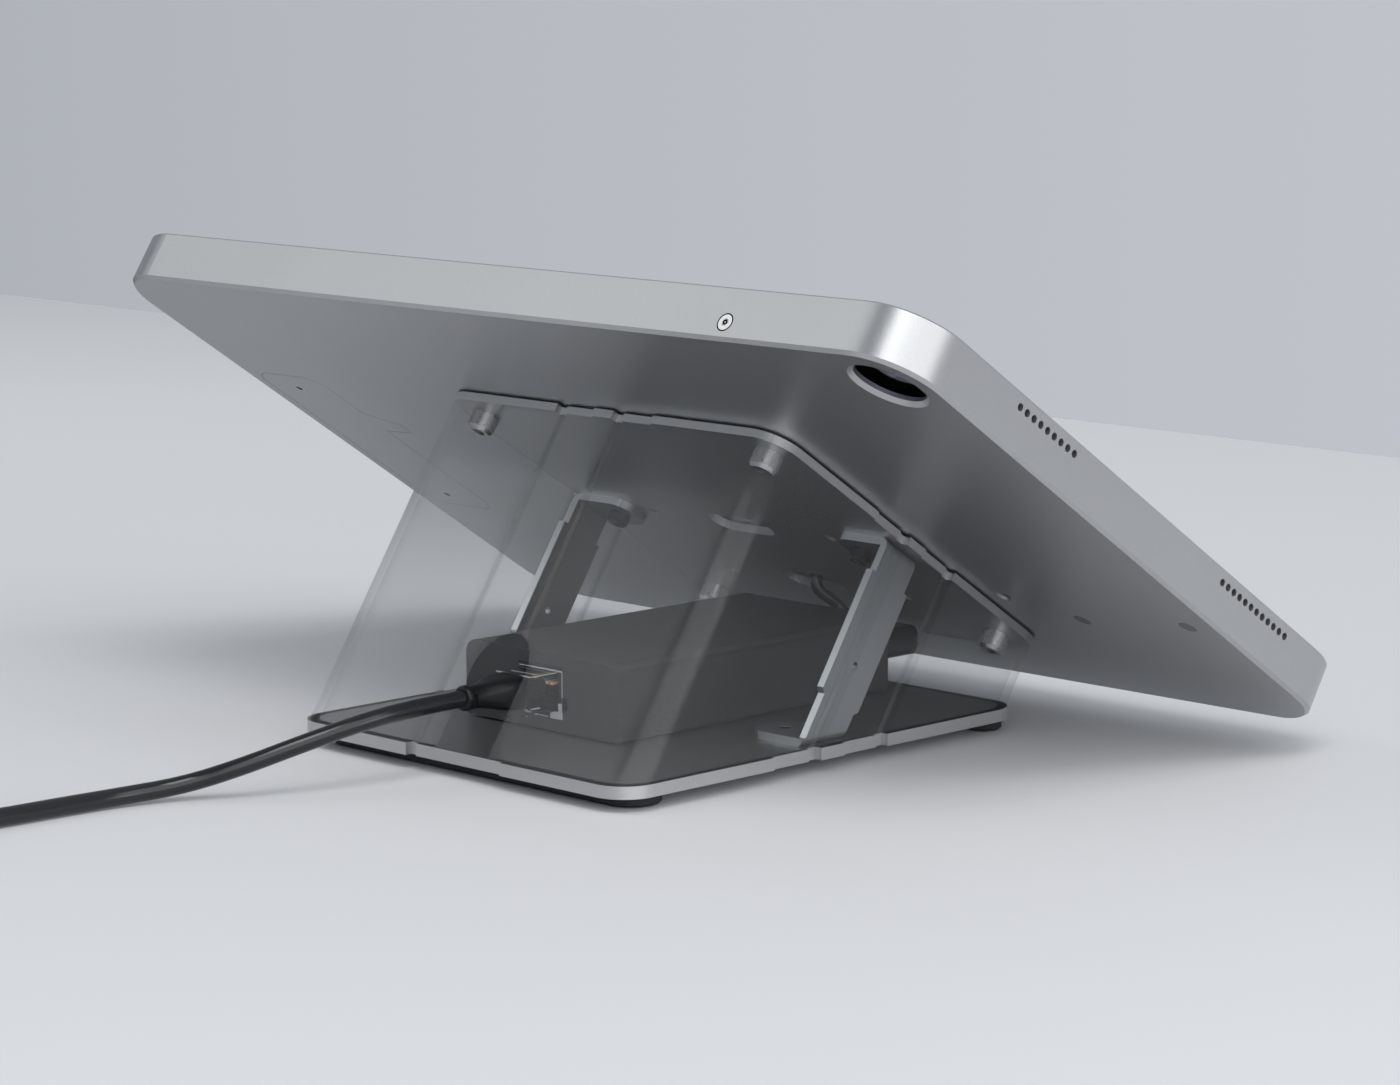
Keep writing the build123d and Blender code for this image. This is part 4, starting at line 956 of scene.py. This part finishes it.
class MakeNetworkPlugs(bpy.types.Operator):
    """Both network plugs: clear bodies, contacts, wires and tapered boots"""

    bl_idname = "desk_stand.make_network_plugs"
    bl_label = "Network plugs"

    def execute(self, context):
        clear = clear_material("Clear plug", (0.95, 0.96, 0.97), 1.03, coat=0.5)
        gold = gold_material()
        jacket = jacket_material(context)
        soft = grained_material("Soft boot", (0.005, 0.005, 0.0055), 0.3, scale=300.0, contrast=0.3,
                                bump=0.0000005, spread=0.1, specular=0.3)
        end = COIL_START + Vector((0, COIL_END_RUN, COIL_PITCH))
        for name, start, forward, up in (("plug", CORD_START, -1, 1), ("far_plug", end, 1, -1)):
            dress(clear, f"{name}_body", f"{name}_latch")
            dress(gold, f"{name}_contacts")
            dress(jacket, f"{name}_jacket")
            dress(self.wire_material(name, start), f"{name}_wires")
            boot = self.boot(f"{name}_tapered_boot", start, forward, up, soft)
            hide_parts(f"{name}_boot")
        return {"FINISHED"}

    def wire_material(self, name, start):
        """Eight insulated wires in their usual colours, told apart by their place across the plug."""
        material, tree = blank_material(f"Wires of {name}")
        low = (start.x - WIRES_HALF_WIDE) * MM
        high = (start.x + WIRES_HALF_WIDE) * MM
        across = ranged(tree, across_object(tree, object_place(tree)), 0.0, 1.0, low, high)
        ramp = add_node(tree, "ShaderNodeValToRGB", {"Fac": across})
        ramp.color_ramp.interpolation = "CONSTANT"
        stops = ramp.color_ramp.elements
        for index, colour in enumerate(WIRE_COLOURS):
            if index >= len(stops):
                stops.new(1.0)
            stops[index].position = index / len(WIRE_COLOURS)
            stops[index].color = (*colour, 1.0)
        inputs = {"Base Color": ramp.outputs["Color"], "Roughness": 0.35}
        feed(tree, tree.nodes["Principled BSDF"], inputs)
        return material

    def boot(self, name, start, forward, up, material):
        """Strain relief with a collar at the cord's end, from round to nearly rectangular."""
        shape = bmesh.new()
        rings = []
        for along, half_wide, half_tall, power in BOOT_SECTIONS:
            drop = BOOT_DROP * max(0.0, (along - BOOT_COLLAR_LONG) / (BOOT_LONG - BOOT_COLLAR_LONG))
            ring = []
            for across, rise in rounded_outline(half_wide, half_tall, power):
                place = start + Vector((across, forward * along, up * (rise - drop)))
                ring.append(shape.verts.new(place * MM))
            rings.append(ring)
        closed(shape, rings)
        mesh = made_mesh(name, shape)
        mesh.shade_smooth()
        return finished(name, mesh, material, "stand")


class MakeJackPaintedLight(bpy.types.Operator):
    """Painted highlights on the jack's clear rim and on the edges of the plug in it, and painted shade in
    the jack's key slot
    """

    bl_idname = "desk_stand.make_jack_rim"
    bl_label = "Jack painted light"

    def execute(self, context):
        # Painted highlights: thin light grey bars along the edges of the jack's rim and the plug, and a
        # sheet in one corner
        painted_highlight = grained_material("Painted rim highlight", (0.5, 0.51, 0.52), 0.35, scale=900.0, contrast=0.15,
                                   bump=0.000002)
        shape = bmesh.new()
        for start, end, radius in self.painted_highlight_edges():
            self.bar(shape, Vector(start) * MM, Vector(end) * MM, radius * MM)
        self.sheet(shape, PAINTED_HIGHLIGHT_CORNER, RIM_FACE + 0.1, RIM_FACE + 0.3)
        finished("jack_painted_highlights", made_mesh("jack_painted_highlights", shape), painted_highlight, "stand")
        # Painted shade: a near-black sheet in the jack's key slot
        shape = bmesh.new()
        self.sheet(shape, self.slot_outline(), RIM_FACE - 0.05, RIM_FACE + 0.08)
        mesh = made_mesh("jack_key_slot_painted_shade", shape)
        finished("jack_key_slot_painted_shade", mesh, painted_gap_shade_material(), "stand")
        return {"FINISHED"}

    def painted_highlight_edges(self):
        """Start, end and radius of each painted highlight: first the jack's rim, then the plug in it."""
        face = RIM_FACE
        rim_near = JACK_LOW.x + RIM_INSET
        rim_far = JACK_HIGH.x - RIM_INSET
        rim_middle = 0.0
        side = rim_near - 0.1
        wide_foot = (-2.2, 2.5)
        narrow_foot = (-2.6, -5.6)
        near = PLUG_LOW.x
        far = PLUG_HIGH.x
        rear = PLUG_HIGH.y
        top = PLUG_HIGH.z
        low = PLUG_LOW.z + 0.1
        latch_root = (0.6, -8.0)
        return [
            ((rim_near, face, RIM_TOP), (rim_middle, face, RIM_TOP), 0.2),
            ((rim_middle, face, RIM_TOP), (rim_far, face, RIM_TOP), 0.1),
            ((side, face, RIM_BOTTOM - 0.05), (side, face, RIM_TOP - 0.1), 0.1),
            ((wide_foot[0], face, RIM_BOTTOM), (wide_foot[1], face, RIM_BOTTOM), 0.2),
            ((narrow_foot[0], face, RIM_BOTTOM), (narrow_foot[1], face, RIM_BOTTOM), 0.1),
            ((far, rear, top), (near, rear, top), 0.17),
            ((near, rear, top), (near, face, top), 0.12),
            ((latch_root[0], rear - 3.0, top), (latch_root[1], rear - 3.6, top), 0.08),
            ((near, rear - 0.2, low), (near, rear - 3.0, low), 0.12),
        ]

    def slot_outline(self, count=40):
        """Slot with round ends, in X and Z."""
        points = []
        for index in range(count):
            angle = 2 * math.pi * index / count
            side = math.copysign(KEY_SLOT_HALF_RUN, math.cos(angle))
            across = KEY_SLOT_MIDDLE[0] + side + KEY_SLOT_RADIUS * math.cos(angle)
            points.append((across, KEY_SLOT_MIDDLE[1] + KEY_SLOT_RADIUS * math.sin(angle)))
        return points

    def bar(self, shape, start, end, radius, count=8):
        """Thin bar between two points."""
        along = (end - start).normalized()
        first = along.orthogonal().normalized()
        second = along.cross(first)
        rings = []
        for middle in (start, end):
            ring = []
            for index in range(count):
                angle = 2 * math.pi * index / count
                out = first * math.cos(angle) + second * math.sin(angle)
                ring.append(shape.verts.new(middle + out * radius))
            rings.append(ring)
        closed(shape, rings)

    def sheet(self, shape, outline, *faces):
        """Thin upright sheet with an outline in X and Z, between its two faces in Y."""
        rings = [[shape.verts.new((x * MM, y * MM, z * MM)) for x, z in outline] for y in faces]
        closed(shape, rings)


class MakeNetworkCord(bpy.types.Operator):
    """Network cord from its boot over the table to the put-away coil and the far plug"""

    bl_idname = "desk_stand.make_network_cord"
    bl_label = "Network cord"

    def execute(self, context):
        cords = settings(context).cords
        jacket = jacket_material(context)
        points = as_metres(CORD_ROUTE)
        points += as_metres(coil_points(COIL_START, cords.points_per_turn))
        end = COIL_START + Vector((0, 0, COIL_PITCH))
        points += as_metres([end, end + Vector((0, COIL_END_RUN, 0))])
        cord = smooth_curve("patch_cord", points, cords.diameter, jacket)
        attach(cord, "stand")
        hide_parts("network_cord", "cord_coil")
        far = [bpy.data.objects["far_plug_tapered_boot"]]
        far += [NODES[f"far_plug_{part}"] for part in ("body", "contacts", "wires", "jacket", "latch")]
        return {"FINISHED"}


class MakeStage(bpy.types.Operator):
    """Floor, wall, soft lamps and the camera"""

    bl_idname = "desk_stand.make_stage"
    bl_label = "Stage"

    def execute(self, context):
        stage = settings(context).stage
        self.floor(stage)
        self.wall(stage)
        self.light(context)
        self.camera(context, stage)
        return {"FINISHED"}

    def sheet(self, name, corners, material):
        """Flat piece of the stage with four corners."""
        mesh = bpy.data.meshes.new(name)
        mesh.from_pydata(corners, [], [(0, 1, 2, 3)])
        mesh.materials.append(material)
        piece = bpy.data.objects.new(name, mesh)
        bpy.context.scene.collection.objects.link(piece)

    def floor(self, stage):
        """Pale floor with painted light that makes it brighter past the stand, and painted shade that
        makes it darker there in reflections.
        """
        floor, tree = blank_material("Floor")
        turn = stage.camera_turn
        along = along_axis(tree, object_place(tree), (math.sin(turn), -math.cos(turn), 0.0))
        shade = add_node(tree, "ShaderNodeMix", {
            "Factor": ranged(tree, along, 0.0, 1.0, 0.0, FLOOR_FADE),
            "A": (*stage.floor, 1.0),
            "B": (*stage.floor_far, 1.0),
        }, data_type="RGBA")
        # Painted shade: the floor is darker in reflections past the stand
        level = add_node(tree, "ShaderNodeMix", {
            "Factor": add_node(tree, "ShaderNodeLightPath").outputs["Is Glossy Ray"],
            "A": 1.0,
            "B": ranged(tree, along, 1.0, FAR_REFLECTION_PAINTED_SHADE, 0.0, REFLECTION_FADE),
        })
        feed(tree, tree.nodes["Principled BSDF"], {
            "Base Color": shaded(tree, shade.outputs["Result"], level.outputs["Result"]),
            "Roughness": 0.6,
            "Specular IOR Level": 0.2,
        })
        near = -FLOOR_HALF
        far = FLOOR_HALF
        low = -FLOOR_GAP
        corners = [(near, near, low), (far, near, low), (far, far, low), (near, far, low)]
        self.sheet("floor", corners, floor)

    def wall(self, stage):
        """Backdrop that glows by itself, with painted light that makes it darker towards its far end and
        dimmer in reflections; it only shows from its front, and takes no light from the stand.
        """
        material, tree = blank_material("Wall")
        tree.nodes.remove(tree.nodes["Principled BSDF"])
        shade = add_node(tree, "ShaderNodeMix", {
            "Factor": ranged(tree, across_object(tree, object_place(tree)), 0.0, 1.0, *WALL_FADE),
            "A": (*stage.wall_far, 1.0),
            "B": (*stage.wall, 1.0),
        }, data_type="RGBA")
        ray = add_node(tree, "ShaderNodeLightPath").outputs
        glow = add_node(tree, "ShaderNodeEmission", {
            "Color": shade.outputs["Result"],
            "Strength": ranged(tree, ray["Is Glossy Ray"], 1.0, WALL_REFLECTION),
        })
        hidden = add_node(tree, "ShaderNodeNewGeometry").outputs["Backfacing"]
        for kind in ("Is Shadow Ray", "Is Diffuse Ray"):
            hidden = calculate(tree, "MAXIMUM", hidden, ray[kind])
        partly_clear(tree, hidden, glow.outputs["Emission"])
        far = -stage.wall_distance
        left = WALL_HALF
        right = -WALL_HALF
        corners = [(left, far, 0), (right, far, 0), (right, far, WALL_TALL), (left, far, WALL_TALL)]
        self.sheet("wall", corners, material)

    def light(self, context):
        """Soft lamps that face the stand, and a faint even light from all around."""
        world = bpy.data.worlds.new("Studio")
        world.use_nodes = True
        background = world.node_tree.nodes["Background"]
        background.inputs["Color"].default_value = WORLD_COLOUR
        background.inputs["Strength"].default_value = WORLD_STRENGTH
        context.scene.world = world
        for name, turn, lift, away, wide, tall, power in LAMPS:
            lamp = bpy.data.lights.new(name, "AREA")
            lamp.shape = "RECTANGLE"
            lamp.size = wide
            lamp.size_y = tall
            lamp.energy = power
            holder = bpy.data.objects.new(name, lamp)
            context.scene.collection.objects.link(holder)
            turned = math.radians(turn)
            lifted = math.radians(lift)
            aim = Vector((math.sin(turned), math.cos(turned), 0)) * math.cos(lifted)
            aim.z = math.sin(lifted)
            holder.location = LAMP_TARGET + aim * away
            holder.rotation_euler = aim.to_track_quat("Z", "Y").to_euler()

    def camera(self, context, stage):
        """Camera behind the stand, level with its top edge and turned towards its rear corner."""
        data = bpy.data.cameras.new("camera")
        data.sensor_width = 36.0
        data.lens = stage.lens
        data.clip_start = 0.01
        data.clip_end = 30.0
        camera = bpy.data.objects.new("camera", data)
        context.scene.collection.objects.link(camera)
        camera.location = CAMERA_PLACE
        turn = stage.camera_turn
        dip = stage.camera_dip
        look = Vector((math.sin(turn) * math.cos(dip), -math.cos(turn) * math.cos(dip), -math.sin(dip)))
        camera.rotation_euler = look.to_track_quat("-Z", "Y").to_euler()
        context.scene.camera = camera


STEPS = (DressHousing, DressTablet, DressPlates, DressBrackets, MakeScrews, DressCover, DressAdapter,
         MakePowerLead, MakeNetworkPlugs, MakeJackPaintedLight, MakeNetworkCord, MakeStage)


class StandPanel(bpy.types.Panel):
    """Lists what the stand is made of"""

    bl_idname = "VIEW3D_PT_desk_stand"
    bl_label = "Desk stand"
    bl_space_type = "VIEW_3D"
    bl_region_type = "UI"
    bl_category = "Desk stand"

    def draw(self, context):
        column = self.layout.column(align=True)
        for step in STEPS:
            column.operator(step.bl_idname)


CLASSES = (MetalSettings, ScrewSettings, CoverSettings, CordSettings, StageSettings, StandSettings,
           *STEPS, StandPanel)


def register():
    for kind in CLASSES:
        bpy.utils.register_class(kind)
    bpy.types.Scene.desk_stand = PointerProperty(type=StandSettings)


def unregister():
    del bpy.types.Scene.desk_stand
    for kind in reversed(CLASSES):
        bpy.utils.unregister_class(kind)


def main():
    """Registers the classes and makes every piece in order."""
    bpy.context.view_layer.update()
    register()
    bpy.context.scene.view_settings.view_transform = "Standard"
    bpy.ops.desk_stand.dress_housing()
    bpy.ops.desk_stand.dress_tablet()
    bpy.ops.desk_stand.dress_plates()
    bpy.ops.desk_stand.dress_brackets()
    bpy.ops.desk_stand.make_screws()
    bpy.ops.desk_stand.dress_cover()
    bpy.ops.desk_stand.dress_adapter()
    bpy.ops.desk_stand.make_power_lead()
    bpy.ops.desk_stand.make_network_plugs()
    bpy.ops.desk_stand.make_jack_rim()
    bpy.ops.desk_stand.make_network_cord()
    bpy.ops.desk_stand.make_stage()


if __name__ == "__main__":
    main()
